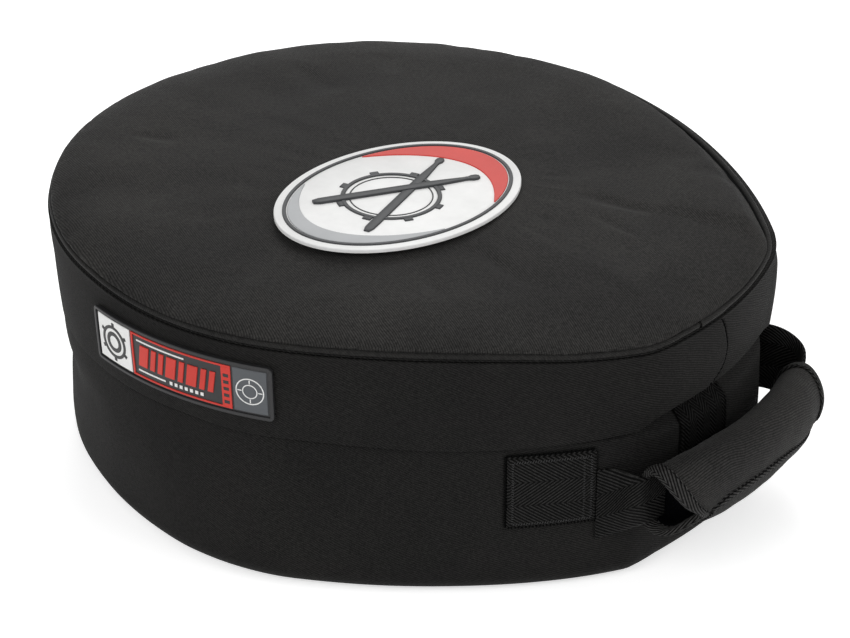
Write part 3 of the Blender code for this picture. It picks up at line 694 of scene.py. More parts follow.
# The top's nylon is the sides' cloth at about twice their tone: painted light, since the top faces the
# light.
NYLON_TOP_PAINTED_LIGHT = twill("nylon_top_painted_light", 0.0202, "Object", 0.00125, 62.0, contrast=1.0, depth=0.00022, sheen=0.06)
NYLON_SKIRT = twill("nylon_skirt", 0.0092, "UV", 0.00140, 115.0, contrast=1.0, sheen=0.018)
NYLON_SIDE = twill("nylon_side", 0.0092, "UV", 0.00140, 65.0, contrast=1.0, sheen=0.018)
# The grip's nylon is the sides' cloth at about twice their tone: painted light on its upward faces.
NYLON_GRIP_PAINTED_LIGHT = twill("nylon_grip_painted_light", 0.0205, "UV", 0.0015, 80.0, contrast=1.0, depth=0.00034, sheen=0.05)
PIPING = twill("piping_cloth", 0.0165, "UV", 0.0011, 50.0, contrast=0.60, rough=0.60, sheen=0.07)
WEBBING = herringbone("webbing", 0.0165, column=0.0153, pitch=0.0031, slope=1.48, contrast=0.99,
                      depth=0.0010)
PATCH_WEB = herringbone("patch_webbing", 0.0075, column=0.0064, pitch=0.0026, slope=1.2, contrast=0.95,
                        depth=0.0008, swap=True, specular=0.04)
TAPE = herringbone("binding_tape", 0.0290, column=0.0085, pitch=0.0042, slope=2.5, contrast=0.99, sheen=0.02)
# Near-black webbing for the plugs inside the grip's ends: painted shade in the hollow openings.
HOLLOW_PAINTED_SHADE = herringbone("grip_hollow_painted_shade", 0.0012, column=0.0153, pitch=0.0036, slope=1.48,
                         tint=(0.8, 0.85, 1.3), contrast=0.8, specular=0.03)
ZIP_TAPE = herringbone("zip_tape_cloth", 0.0110, column=0.0021, pitch=0.0009, contrast=0.4, depth=0.0001)
LINING = lining_cloth("lining", 0.030)
THREAD = thread("dark_thread", 0.0012)
THREAD_PALE = thread("pale_thread", 0.045)
COIL = rubber("zip_teeth", (0.012, 0.012, 0.012), 0.38)
METAL = metal("slider_finish", (0.055, 0.054, 0.052))
WHITE = rubber("white_rubber_face", (0.86, 0.86, 0.85), 0.45)
CHARCOAL = rubber("charcoal_rubber_face", (0.040, 0.042, 0.045), 0.5)
RED = rubber("red_rubber_face", (0.62, 0.035, 0.022), 0.48)
GREY = rubber("grey_rubber_face", (0.42, 0.43, 0.44), 0.48)
SLATE = rubber("slate_rubber_face", (0.085, 0.092, 0.10), 0.5)
BLACK = rubber("black_rubber_frame", (0.016, 0.016, 0.017), 0.45)


# The lid

# Height and normal angle along the upright seam by the nose, from the top down
SEAM = ((0.1594, -6.8), (0.1526, -4.7), (0.1400, -3.2), (0.1305, -2.6), (0.1187, -3.5), (0.1095, -7.4))
# Depth below the skirt's top and how far the cloth is drawn in there by the row of stitches
STITCH_GROOVE = ((0.0014, 0.0001), (0.0017, 0.0004), (0.00195, 0.0010), (0.0022, 0.0012), (0.00245, 0.0009),
                 (0.0027, 0.0001), (0.0030, -0.0003), (0.0036, -0.0002))
piping_shift = 0.0034
piping_drop = 0.0011


def seam_angle(height):
    """Normal angle of the upright seam by the nose."""
    return math.radians(table(SEAM[::-1], height))


def skirt_profile(a):
    """Closed profile of the skirt at one angle: outer face, folded edge, inner face and seam allowance."""
    low = flap_height(a)
    top = skirt_top - rim_drop(a)
    roll = roll_in(a)
    tuck = piping_shift * roll
    outer = [(0.0014 + 0.0030 * roll, top - 0.0008 + 0.0014 * roll),
             (0.0009 + 0.0010 * roll, top - 0.0009 + 0.0010 * roll), (0.0006 - 0.0004 * roll, top - 0.0011)]
    outer += [(skirt_face(a, top - z) + dip, top - z) for z, dip in STITCH_GROOVE]
    start = top - 0.0046
    stop = low + 0.0012
    rows = 22
    for i in range(rows + 1):
        z = start + (stop - start) * i / rows
        seam = (a - seam_angle(z)) * nose_radius
        dip = 0.0020 * math.exp(-(seam / 0.0006) ** 2)
        step = 0.0007 * smooth(-seam / 0.0008) * smooth((0.030 + seam) / 0.028)
        outer.append((skirt_face(a, z) + dip - step, z))
    for rise, dip in ((0.0007, 0.0), (0.0002, 0.0003), (0.0, 0.0007), (0.0002, 0.0011), (0.0008, 0.0014),
                      (0.0030, 0.0014)):
        outer.append((skirt_face(a, low + rise) + dip, low + rise))
    for i in range(9):
        z = low + 0.0060 + (top - 0.0016 - low - 0.0060) * i / 8.0
        outer.append((skirt_face(a, z) + 0.0013, z))
    return outer + [(0.0022 + tuck, top - 0.0010), (0.0052 + tuck, top - 0.0010), (0.0052 + tuck, top)]


def build_skirt():
    """The lid's padded side with its hanging flap, stitched under the piping and down the seam."""
    skirt = swept("skirt_cover", ring_columns(600, [(-5.0, 0.0110)]), skirt_profile, NYLON_SKIRT)
    dress(skirt, "lid", ("lid_skirt", "lid_skirt_foam"))
    fine = ring_columns(500)
    under_piping = []
    for a in fine + [fine[0] + 1e-6]:
        z = skirt_top - rim_drop(a) - 0.0022
        under_piping.append((at(a, skirt_face(a, z) + 0.0008, z), outward(a)))
    stitches("skirt_stitches", [under_piping], THREAD, "lid", 0.0032, 0.0004, 0.00044)
    seam = []
    for i in range(30):
        z = 0.1545 - (0.1545 - 0.1118) * i / 29.0
        a = seam_angle(z)
        seam.append((at(a, skirt_face(a, z) + 0.0001, z), outward(a)))
    stitches("skirt_seam_stitches", [seam], THREAD, "lid", 0.0030, -0.0002, 0.00066)


def piping_ring(a):
    """Profile of the piping at one angle, thicker where one end wraps the other."""
    past = along(a) - PIPING_JOINT
    wrap = 0.0
    if 0.0 <= past < 0.030:
        wrap = 0.00045 * (1.0 - smooth((past - 0.018) / 0.012))
    elif -0.0010 < past < 0.0:
        wrap = -0.0005
    p = at(a, piping_inset, piping_height)
    swell = 1.0 + 0.035 * wobble(p, 0.022, 7.0) + 0.02 * wobble(p, 0.009, 8.0)
    radius = (piping_radius - 0.0003) * swell + wrap
    height = piping_height - piping_drop + 0.0010 * roll_in(a) - rim_drop(a) + 0.00025 * wobble(p, 0.06, 9.0)
    middle = piping_inset + piping_shift * roll_in(a)
    rows = []
    sides = 16
    for i in range(sides):
        turn = 2.0 * math.pi * i / sides
        flat = 1.0 - 0.10 * max(0.0, -math.sin(turn)) ** 2
        rows.append((middle - radius * math.cos(turn), height + radius * flat * math.sin(turn)))
    return rows


def rim_crease_shade(a):
    """Profile of a near-black strip in the crease between the piping and the top cloth: painted shade that
    darkens the crease.
    """
    height = piping_height - rim_drop(a) + 0.0002
    near = piping_inset + piping_shift * roll_in(a)
    far = 0.0056 + 0.0070 * roll_in(a)
    return [(near, height), (far, height), (far, height - 0.0009), (near, height - 0.0009)]


PIPING_JOINT = along(math.radians(-10.0))


def build_piping():
    """The corded tube round the rim, with one end tucked over the other."""
    columns = ring_columns(620, [(-9.95, 0.0030)])
    # A near-black strip in the crease beside the piping: painted shade.
    dress(swept("rim_crease_painted_shade", columns, rim_crease_shade, THREAD, sharp=30.0), "lid")
    a = angle_at(PIPING_JOINT + 0.0001)
    centre = at(a, piping_inset, piping_height - piping_drop - rim_drop(a))
    loop = []
    for i in range(15):
        turn = math.radians(-60.0 + 210.0 * i / 14.0)
        normal = outward(a) * math.cos(turn) + Vector((0.0, 0.0, math.sin(turn)))
        loop.append((centre + normal * piping_radius, normal))
    stitches("piping_tuck", [loop], THREAD, "lid", 0.0014, -0.0004, 0.00030)
    piping = swept("piping_cord", columns, piping_ring, PIPING, sharp=80.0)
    dress(piping, "lid", ["lid_piping"])


# Reach along the cloth from under the piping, height and inset of the top's first rings
CROWN = ((0.0, 0.1590, 0.0052), (0.0014, 0.1603, 0.0046), (0.0027, 0.1610, 0.0036), (0.0038, 0.1615, 0.0026),
         (0.0045, 0.1621, 0.0021), (0.0055, 0.1631, 0.0021), (0.0067, 0.1641, 0.0028),
         (0.0082, 0.1650, 0.0040), (0.0102, 0.1661, 0.0058), (0.0132, 0.1674, 0.0085),
         (0.0170, 0.1688, 0.0120), (0.0212, 0.1701, 0.0160), (0.0275, 0.1715, 0.0222),
         (0.0340, 0.1727, 0.0287), (0.0410, 0.1737, 0.0356))
# Start and end of each crease in the plan, its width and its depth
FOLDS = ((0.170, 0.035, 0.122, 0.028, 0.0050, 0.0016), (0.178, 0.005, 0.140, 0.012, 0.0035, 0.0012),
         (0.150, -0.075, 0.105, -0.060, 0.0050, 0.0014), (0.128, -0.120, 0.096, -0.098, 0.0045, 0.0012),
         (-0.150, -0.060, -0.118, -0.047, 0.0045, 0.0013), (-0.130, 0.085, -0.080, 0.060, 0.0080, 0.0014),
         (-0.095, 0.150, -0.070, 0.110, 0.0060, 0.0012), (0.020, -0.175, 0.012, -0.150, 0.0045, 0.0010))


def crown_height(reach):
    """Height of the top cloth further in than the bulge at its edge."""
    return 0.1737 + 0.0056 * smooth((reach - 0.030) / 0.150) + 0.0003


def pucker(a, inward):
    """Soft folds that run in from the rim and fade."""
    s = along(wrapped(a))
    fold = noise.noise(Vector((s / 0.016 + 4.0, inward / 0.05, 1.7)))
    wide = noise.noise(Vector((s / 0.060 - 9.0, inward / 0.20, 5.1)))
    if abs(s) > HALF - 0.03:
        blend = smooth((HALF - abs(s)) / 0.03)
        fold *= blend
        wide *= blend
    reach = smooth((inward - 0.006) / 0.006) * (1.0 - smooth((inward - 0.010) / 0.022))
    far = smooth(inward / 0.02) * (1.0 - smooth((inward - 0.05) / 0.12))
    return 0.0006 * fold * reach + 0.0014 * wide * far


def badge_share(p):
    """0 on the badge's oval, 1 well outside it."""
    local = Matrix.Rotation(-badge_turn, 2) @ Vector((p.x - badge_x, p.y - badge_y))
    return smooth((math.hypot(local.x / badge_long, local.y / badge_wide) - 0.97) / 0.35)


def fold_share(p, x0, y0, x1, y1, width):
    """How deep a short crease is at a place: 1 along its line, 0 a few widths away."""
    dx, dy = x1 - x0, y1 - y0
    t = ((p.x - x0) * dx + (p.y - y0) * dy) / (dx * dx + dy * dy)
    if t <= 0.0 or t >= 1.0:
        return 0.0
    gap = abs((p.x - x0) * dy - (p.y - y0) * dx) / math.hypot(dx, dy)
    return math.exp(-(gap / (width * (0.5 + t))) ** 2) * math.sin(math.pi * t) ** 0.7


def top_point(a, inset, share, reach, height):
    """A point of the top cloth. reach and height are given for the rings near the rim alone."""
    near = 0.0
    if reach is None:
        full = (at(a, inset, 0.0) - PLAN_CENTRE).length
        reach = CROWN[-1][0] + full * (1.0 - share)
        height = crown_height(reach)
    else:
        near = 1.0 - smooth((reach - 0.006) / 0.022)
    p = PLAN_CENTRE + (at(a, inset + 0.0078 * roll_in(a) * near, 0.0) - PLAN_CENTRE) * share
    drop = rim_drop(a) * (1.0 - smooth((reach - 0.006) / 0.10))
    drop += 0.0010 * roll_in(a) * (1.0 - smooth((reach - 0.004) / 0.020))
    base = height - drop
    calm = badge_share(p)
    base += calm * pucker(a, reach)
    base += calm * 0.0008 * wobble(p, 0.11, 21.0) * smooth((reach - 0.01) / 0.03)
    for x0, y0, x1, y1, width, deep in FOLDS:
        base -= deep * fold_share(p, x0, y0, x1, y1, width)
    p.z = base
    return p


def build_top():
    """The puffy top, pinned under the piping and under the badge."""
    columns = ring_columns(340)
    count = len(columns)
    rings = [(inset, 1.0, reach, height) for reach, height, inset in CROWN]
    step = 0.024
    share = 1.0 - step
    while share > 0.05:
        rings.append((CROWN[-1][2], share, None, None))
        share -= step
    verts = [top_point(a, *ring) for ring in rings for a in columns]
    faces = []
    bands(faces, 0, len(rings), count)
    fan(verts, faces, (len(rings) - 1) * count, count)
    uvs = [(verts[i].x, verts[i].y) for face in faces for i in face]
    top = finish_mesh("top_cover", verts, faces, NYLON_TOP_PAINTED_LIGHT, uvs, 180.0)
    relax_top(top, count, len(rings))
    solid = top.modifiers.new("thickness", "SOLIDIFY")
    solid.thickness = cloth_thickness
    solid.offset = -1.0
    baked = top.evaluated_get(bpy.context.evaluated_depsgraph_get())
    mesh = bpy.data.meshes.new_from_object(baked)
    top.modifiers.clear()
    top.data = mesh
    dress(top, "lid", ("lid_top_panel", "lid_foam"))


def relax_top(top, count, rings):
    """Cloth simulation of the top: a little too much cloth, pinned at the rim and the badge."""
    before = [v.co.copy() for v in top.data.vertices]
    group = top.vertex_groups.new(name="pinned")
    for i, p in enumerate(before):
        ring = i // count
        weight = 1.0 if ring < 3 or ring >= rings - 3 else max(0.0, 1.0 - badge_share(p) * 1.6)
        if weight > 0.0:
            group.add([i], weight, "REPLACE")
    cloth = top.modifiers.new("cloth", "CLOTH")
    settings = cloth.settings
    settings.quality = 6
    settings.mass = 0.25
    settings.tension_stiffness = 12.0
    settings.compression_stiffness = 12.0
    settings.shear_stiffness = 4.0
    settings.bending_stiffness = 1.2
    settings.vertex_group_mass = "pinned"
    settings.shrink_min = -0.005
    settings.use_pressure = True
    settings.uniform_pressure_force = 0.6
    settings.effector_weights.gravity = 0.0
    cloth.collision_settings.use_collision = False
    scene = bpy.context.scene
    for step in range(1, 19):
        scene.frame_set(step)
    after = top.evaluated_get(bpy.context.evaluated_depsgraph_get()).to_mesh()
    moved = [after.vertices[i].co.copy() for i in range(len(before))]
    top.modifiers.clear()
    scene.frame_set(1)
    most = 0.0025
    for i, v in enumerate(top.data.vertices):
        shift = moved[i] - before[i]
        if shift.length > most:
            shift = shift.normalized() * most
        v.co = before[i] + shift * 0.45
    top.data.update()


def side_lining(low, high, steps, sag, size, seed):
    """Profile of a lining that hangs a little loose between two heights."""
    def profile(a):
        rows = []
        for i in range(steps + 1):
            z = low + (high - low) * i / steps
            ease = math.sin(math.pi * i / steps)
            rows.append((lining_outer + sag * ease * (1.0 + wobble(at(a, 0.0, z), size, seed)), z))
        return rows + [(inset + lining_thickness, z) for inset, z in rows[::-1]]
    return profile


def build_lid_inside():
    """Lining and zip band inside the lid."""
    crown = ((0.0149, 0.1560, 1.0), (0.0149, 0.1586, 1.0), (0.0190, 0.1640, 1.0), (0.0270, 0.1672, 1.0),
             (0.0450, 0.1688, 1.0), (0.0450, 0.1692, 0.8), (0.0450, 0.1694, 0.5), (0.0450, 0.1694, 0.2))

    def ceiling_height(height, share):
        ease = 1.0 if share < 1.0 else 0.4
        return lambda p: height + 0.0006 * wobble(p, 0.05, 31.0) * ease

    rows = [(inset, ceiling_height(height, share), share) for inset, height, share in crown[::-1]]
    rows += [(inset + 0.0006, ceiling_height(height - lining_thickness, share), share)
             for inset, height, share in crown]
    dress(disc("lid_ceiling_lining", rows, LINING, 240), "lid", ["lid_lining"])

    side = side_lining(lid_bottom, 0.1581, 12, -0.0004, 0.04, 33.0)
    inner = swept("lid_side_lining", ring_columns(300), side, LINING)
    dress(inner, "lid", ["lid_skirt_lining"])

    band = [(0.0135, lid_bottom), (0.0125, lid_bottom), (0.0125, 0.1150), (0.0125, 0.1190), (0.0122, 0.1206),
            (0.0108, 0.1214), (0.0080, 0.1215), (0.0048, 0.1214), (0.0048, 0.1224), (0.0080, 0.1225),
            (0.0112, 0.1224), (0.0128, 0.1218), (0.0134, 0.1206), (0.0135, 0.1150)]
    shelf = swept("lid_zip_shelf", ring_columns(300), lambda a: band, NYLON_SIDE)
    dress(shelf, "lid", ["lid_zip_band"])


# The body

def build_wall():
    """The padded body wall, rounded at the base and drawn in at the zip, the base and the lining."""
    def profile(a):
        outer = [(0.0197 - base_sway(a, 0.0), 0.0005)]
        outer += [(inset - wall_wave(a, height), max(0.0005, height)) for inset, height in wall_for(a)]
        return thicken(outer, cloth_thickness)

    beside = [(edge, 0.0030) for edge in (-50.5, -42.6, 42.6, 50.5, -12.1, 0.0)]
    wall = swept("wall_cover", ring_columns(460, beside), profile, NYLON_SIDE)
    dress(wall, "case_body", ("side_wall", "side_foam"))

    inside = base_inset + 0.003
    rows = [(inside, 0.0, 0.2), (inside, 0.0, 0.6), (inside, 0.0, 1.0), (base_inset, 0.0, 1.0)]
    rows += [(inset, cloth_thickness, share) for inset, _, share in rows[::-1]]
    base = disc("base_cover", rows, NYLON_TOP_PAINTED_LIGHT, 300, sway=True)
    dress(base, "case_body", ("base_panel", "base_foam"))
    down = Vector((0, 0, -1))
    path = [(at(a, base_inset + 0.0024 - base_sway(a, 0.0), 0.0), down) for a in ring_columns(400)]
    stitches("base_stitches", [path + path[:1]], THREAD, "case_body", lift=-0.0004)

    lining = side_lining(floor_height, zip_height, 14, 0.0004, 0.05, 41.0)
    inner = swept("wall_lining", ring_columns(300), lining, LINING)
    dress(inner, "case_body", ["side_lining"])

    def floor(p):
        return floor_height + lining_thickness + 0.0004 * (1.0 + wobble(p, 0.045, 43.0))

    shares = (0.15, 0.3, 0.45, 0.6, 0.75, 0.85, 0.92, 0.97, 0.999)
    rows = [(0.0150, floor, share) for share in shares]
    rows += [(0.0150, floor_height, share) for share in (1.0, 0.999, 0.6, 0.15)]
    dress(disc("floor_lining", rows, LINING, 240), "case_body", ["base_lining"])


# The zip and the hinge

def tape_profile(low, high, thickness=0.0007):
    """A flat strip on the neck, with softened edges."""
    inner = 0.0122
    outer = inner - thickness
    return [(inner, low), (inner, high), (outer + 0.0001, high), (outer, high - 0.0004),
            (outer, (low + high) / 2.0), (outer, low + 0.0004), (outer + 0.0001, low)]


def teeth(name, root, tip):
    """One row of coil teeth: bent bars that lean from one height towards the meeting line."""
    start = along(zip_start) + 0.0012
    stop = 2.0 * HALF - start
    count = int((stop - start) / 0.0024)
    verts, faces = [], []
    for n in range(count):
        s = start + (stop - start) * (n + 0.5) / count
        a = angle_at(s - 2.0 * HALF if s > HALF else s)
        normal = outward(a)
        side = Vector((-normal.y, normal.x, 0.0))
        base = at(a, 0.0, 0.0)
        closed_bands(faces, len(verts), 4, 4)
        for t, out, half, deep in ((0.0, 0.0112, 0.00045, 0.0004), (0.35, 0.0100, 0.00062, 0.00050),
                                   (0.8, 0.0097, 0.00062, 0.00050), (1.0, 0.0103, 0.00045, 0.0004)):
            p = base - normal * out + Vector((0, 0, root + (tip - root) * t))
            for dx, dn in ((-half, -deep), (half, -deep), (half, deep), (-half, deep)):
                verts.append(p + side * dx + normal * dn * 0.9)
    return finish_mesh(name, verts, faces, COIL, None, 70.0)


def build_zip():
    """Zip tapes, teeth, end tabs and the cloth hinge."""
    start = along(zip_start)
    count = 320
    lengths = [start + (2.0 * HALF - 2.0 * start) * i / count for i in range(count + 1)]
    columns = [angle_at(s if s <= HALF else s - 2.0 * HALF) for s in lengths]
    for name, low, high, body in (("lower", 0.1062, 0.1114, "case_body"), ("upper", 0.1120, 0.1204, "lid")):
        points = [[at(a, i, z) for i, z in tape_profile(low, high)] for a in columns]
        tape = grid(f"{name}_tape", points, ZIP_TAPE, u=lengths + [0.0], loop=True, caps=True)
        dress(tape, body, [f"{name}_zip_tape"])
    for name, root, tip, body in (("lower", 0.1093, 0.1115, "case_body"), ("upper", 0.1141, 0.1119, "lid")):
        dress(teeth(f"{name}_teeth", root, tip), body, [f"{name}_zip_coil"])
    for name, sign in (("left", 1.0), ("right", -1.0)):
        ends = sorted((sign * math.radians(39.0), sign * math.radians(42.9)))
        points = []
        for a in span_columns(ends[0], ends[1], 0.0008):
            edge = min(abs(a - ends[0]), abs(a - ends[1])) * corner_radius
            puff = 0.0006 * smooth(edge / 0.0012)
            points.append([at(a, i - (puff if i < 0.0115 else 0.0), z)
                           for i, z in tape_profile(0.1058, 0.1114, 0.0011)])
        tab = grid(f"{name}_end_tab", points, WEBBING, loop=True, caps=True)
        dress(tab, "case_body", [f"zip_end_tab_{name}"])

    low, high = 0.1032, 0.1203
    rows = [(0.0122, low + (high - low) * i / 14.0) for i in range(15)]
    rows += [(0.0112 - 0.0004 * math.sin(math.pi * i / 14.0), high - (high - low) * i / 14.0)
             for i in range(15)]
    points = [[at(a, i, z) for i, z in rows] for a in span_columns(-hinge_reach, hinge_reach, 0.0025)]
    hinge = grid("hinge_cloth", points, NYLON_SIDE, loop=True, caps=True)
    dress(hinge, None, ("hinge_strip_lower", "hinge_strip_upper"))
    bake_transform(hinge)

    for side in ("left", "right"):
        for solid in (f"zip_slider_{side}", f"zip_pull_{side}"):
            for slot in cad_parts[solid].material_slots:
                slot.material = METAL


# The webbing and the handle

def through(front, middle, back, share):
    """A smooth curve through three values, from -1 at the front to 1 at the back."""
    bend = (front + back) / 2.0 - middle
    return middle + (back - front) / 2.0 * share + bend * share * share


def grip_centre(y):
    """Centre line of the grip."""
    share = y / grip_half_length
    return Vector((through(0.2490, 0.2622, 0.2523, share), y, through(0.0650, 0.0631, 0.0545, share)))


def grip_point(y, turn, out=0.0):
    """A point round the grip at y; out moves it off the oval."""
    swell = through(0.0015, 0.0, 0.0002, y / grip_half_length)
    wide = (grip_half_width + swell + out) * math.cos(turn)
    deep = (grip_half_depth + swell + out) * math.sin(turn)
    x = wide * math.cos(grip_tilt) - deep * math.sin(grip_tilt)
    z = wide * math.sin(grip_tilt) + deep * math.cos(grip_tilt)
    return grip_centre(y) + Vector((x, 0.0, z))


FRONT_REACH = ((0, -0.0062), (15, 0.0022), (30, 0.0075), (45, 0.0112), (60, 0.0134), (75, 0.0140),
               (90, 0.0136), (105, 0.0122), (120, 0.0098), (135, 0.0068), (150, 0.0040), (165, 0.0016),
               (180, 0.0), (210, -0.0008), (240, -0.0008), (270, -0.0010), (300, -0.0022), (315, -0.0048),
               (330, -0.0090), (345, -0.0116), (360, -0.0062))
BACK_REACH = ((0, -0.0040), (45, -0.0048), (75, -0.0036), (110, 0.0), (180, 0.0), (260, 0.0), (320, -0.0040),
              (360, -0.0040))
FRONT_PINCH = ((0, 0.0), (60, 0.0), (180, 0.0), (240, 0.0), (270, -0.0012), (300, -0.0024), (330, -0.0026),
               (345, -0.0012), (360, 0.0))
BACK_PINCH = ((0, -0.0014), (30, -0.0010), (60, -0.0010), (90, -0.0006), (130, 0.0), (220, 0.0),
              (270, -0.0026), (315, -0.0046), (340, -0.0036), (360, -0.0014))


def grip_surface(y, turn, out=0.0):
    """A point of the padded wrap: the oval with slanted ends, pinched lower lip and fuller inner side."""
    degrees = math.degrees(turn) % 360.0
    front = smooth((-y - 0.040) / 0.039)
    back = smooth((y - 0.045) / 0.034)
    shifted = y - front * table(FRONT_REACH, degrees) + back * table(BACK_REACH, degrees)
    fuller = 0.0014 * math.exp(-((degrees - 150.0) / 45.0) ** 2) * (1.0 - front)
    fuller -= 0.0014 * math.exp(-((degrees - 315.0) / 40.0) ** 2) * smooth((y + 0.005) / 0.03) * (1.0 - back)
    pinch = front * table(FRONT_PINCH, degrees) + back * table(BACK_PINCH, degrees)
    return grip_point(shifted, turn, out + pinch + fuller)


def bezier(a, b, c, d, t):
    """A point on a cubic curve."""
    s = 1.0 - t
    return a * s ** 3 + b * 3.0 * s * s * t + c * 3.0 * s * t * t + d * t ** 3


def bezier_slope(a, b, c, d, t):
    """The direction of a cubic curve."""
    s = 1.0 - t
    return (b - a) * 3.0 * s * s + (c - b) * 6.0 * s * t + (d - c) * 3.0 * t * t


def sewn_patch(name, first, last, low, high, thickness, mat, solid):
    """Webbing sewn flat on the wall, with rounded edges."""
    a, b = along(first), along(last)
    across = 18
    length = abs(b - a)
    steps = max(4, round(length / 0.0015))
    heights = [low + (high - low) * j / across for j in range(across + 1)]
    points, v = [], []
    for i in range(steps + 1):
        angle = angle_at(a + (b - a) * i / steps)
        end = min(i, steps - i) * length / steps
        outer = []
        for j, z in enumerate(heights):
            edge = min(j, across - j) * (high - low) / across
            puff = thickness * (0.35 + 0.65 * smooth(edge / 0.0015)) * (0.45 + 0.55 * smooth(end / 0.0015))
            sewn = 0.0005 * math.exp(-((edge - 0.0032) / 0.0009) ** 2) * smooth((end - 0.001) / 0.002)
            sewn += 0.0005 * math.exp(-((end - 0.0032) / 0.0009) ** 2) * smooth((edge - 0.001) / 0.002)
            outer.append(wall_at(angle, z, clearance + puff - sewn))
        points.append(outer + [wall_at(angle, z, 0.0001) for z in heights[::-1]])
        row = [j * (high - low) / across for j in range(across + 1)]
        v.append(row + row[::-1] + [0.0])
    u = [length * i / steps for i in range(steps + 1)] + [0.0]
    patch = grid(name, points, mat, u=u, v=v, loop=True, caps=True, sharp=70.0)
    dress(patch, "case_body", [solid])


def build_anchor(name, sign):
    """Webbing anchored on the wall, with its box stitching."""
    low = handle_height - webbing_width / 2.0
    high = handle_height + webbing_width / 2.0
    first, last = sorted((sign * anchor_start, sign * anchor_end))
    sewn_patch(f"anchor_{name}", first, last, low, high, 0.0022, WEBBING, f"handle_anchor_{name}")

    def line(a, b, c, d, steps, out):
        """A line on the anchor between two pairs of length and height."""
        rows = []
        for i in range(steps + 1):
            angle = angle_at(sign * (a + (c - a) * i / steps))
            rows.append((wall_at(angle, b + (d - b) * i / steps, clearance + out), outward(angle)))
        return rows

    near = along(anchor_start) + 0.0030
    far = along(anchor_end) - 0.0032
    left, right = low + 0.003, high - 0.003
    corners = ((far, left, far, right), (far, right, near, right), (near, right, near, left),
               (near, left, far, left), (near + 0.0045, left, near + 0.0045, right))
    box = [line(*corner, 16, 0.0019) for corner in corners]
    stitches(f"anchor_stitches_{name}", box, THREAD_PALE, "case_body", 0.0019, -0.0004, 0.00030,
             math.radians(62.0))
    end = along(anchor_end)
    start = along(anchor_start) + 0.001
    border = [line(end + 0.0006, low, end + 0.0006, high, 20, 0.0002),
              line(start, high + 0.0006, end, high + 0.0006, 20, 0.0002)]
    stitches(f"anchor_edge_{name}", border, THREAD, "case_body", 0.0026, -0.0004, 0.00060)
    under = [line(start, low + 0.0004, end, low + 0.0004, 20, 0.0012)]
    stitches(f"anchor_bars_{name}", under, THREAD, "case_body", 0.0016, 0.0004, 0.00048, math.radians(90.0))


def build_strap(name, sign, solids, shift, leaving, pull, last_pull, rise, narrow, far_lean):
    """Webbing that runs free from an anchor into the grip."""
    leave = anchor_start - clearance / flank_radius
    inset = wall_inset - wall_bulge - clearance - webbing_thickness / 2.0
    first = at(sign * leave, inset, 0.0)
    first_pull = Vector((math.sin(leave), -sign * math.cos(leave), 0.0)) * pull
    end = grip_centre(sign * (grip_half_length + clearance)) + Vector(shift)
    last = Vector((end.x, end.y, 0.0))
    curve = (first, first + first_pull, last + Vector(last_pull), last)
    stops = []
    steps = 36
    for i in range(steps + 1):
        t = i / steps
        place = bezier(*curve, t)
        place.z = leaving + (end.z - leaving) * smooth(t) + rise * math.sin(math.pi * t)
        stops.append((place, bezier_slope(*curve, t).normalized(), t))
    mouth = grip_centre(sign * grip_half_length)
    aside = Vector((end.x - mouth.x, 0.0, end.z - mouth.z))
    for deep in (0.0035, 0.0070, 0.0105):
        inside = grip_centre(sign * (grip_half_length - deep)) + aside
        stops.append((inside, Vector((0.0, -sign, 0.0)), 1.0))
    points, v = [], []
    across = 20
    for place, heading, t in stops:
        ease = smooth(t * 1.15)
        width = webbing_width + (narrow - webbing_width) * ease
        depth = webbing_thickness + (0.0030 - webbing_thickness) * ease
        side = Vector((heading.y, -heading.x, 0.0)) * sign
        lean = smooth((t - 0.2) / 0.8) * math.radians(far_lean)
        up = Vector((0.0, 0.0, math.cos(lean))) + side * math.sin(lean)
        flat = side * math.cos(lean) - Vector((0.0, 0.0, math.sin(lean)))
        outer, inner = [], []
        for j in range(across + 1):
            share = -1.0 + 2.0 * j / across
            thin = depth / 2.0 * (0.45 + 0.55 * smooth((1.0 - abs(share)) / 0.06))
            curl = 0.0022 * math.sin(math.pi * t) * (share * share - 0.4)
            spot = place + up * (share * width / 2.0)
            outer.append(spot + flat * (thin + curl))
            inner.append(spot + flat * (curl - thin))
        points.append(outer + inner[::-1])
        row = [j * width / across for j in range(across + 1)]
        v.append(row + row[::-1] + [0.0])
    strap = grid(f"strap_{name}", points, WEBBING, v=v, loop=True, caps=True, sharp=70.0)
    dress(strap, None, solids)
    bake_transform(strap)


# Shift of the far end, height at the anchor, pull at the anchor and the grip, rise, far width and lean
STRAPS = (("front", -1.0, ("handle_strap_front", "handle_strap_core"), (-0.0108, 0.0, -0.0010),
           handle_height - 0.0135, 0.0170, (-0.0030, -0.0170, 0.0), 0.0010, 0.0330, 0.0),
          ("back", 1.0, ("handle_strap_back",), (-0.0084, 0.0, 0.0050),
           handle_height - 0.0030, 0.0140, (0.0006, 0.0205, 0.0), 0.0078, 0.0390, -24.0))


def build_mounts():
    """Anchors with their box stitching, the patch on the nose, and the free straps."""
    build_anchor("front", -1.0)
    build_anchor("back", 1.0)
    reach = 0.0450 / nose_radius
    sewn_patch("nose_patch", -reach, 0.0, 0.0500, 0.1030, 0.0013, PATCH_WEB, "nose_webbing_patch")
    edges = []
    heights = [0.051 + 0.050 * i / 25.0 for i in range(26)]
    for a in (-reach + 0.0022 / nose_radius, -0.0022 / nose_radius):
        edges.append([(wall_at(a, z, clearance + 0.0010), outward(a)) for z in heights])
    stitches("nose_patch_stitches", edges, THREAD, "case_body")
    for strap in STRAPS:
        build_strap(*strap)


grip_sides = 60
grip_turns = [2.0 * math.pi * j / grip_sides for j in range(grip_sides)]


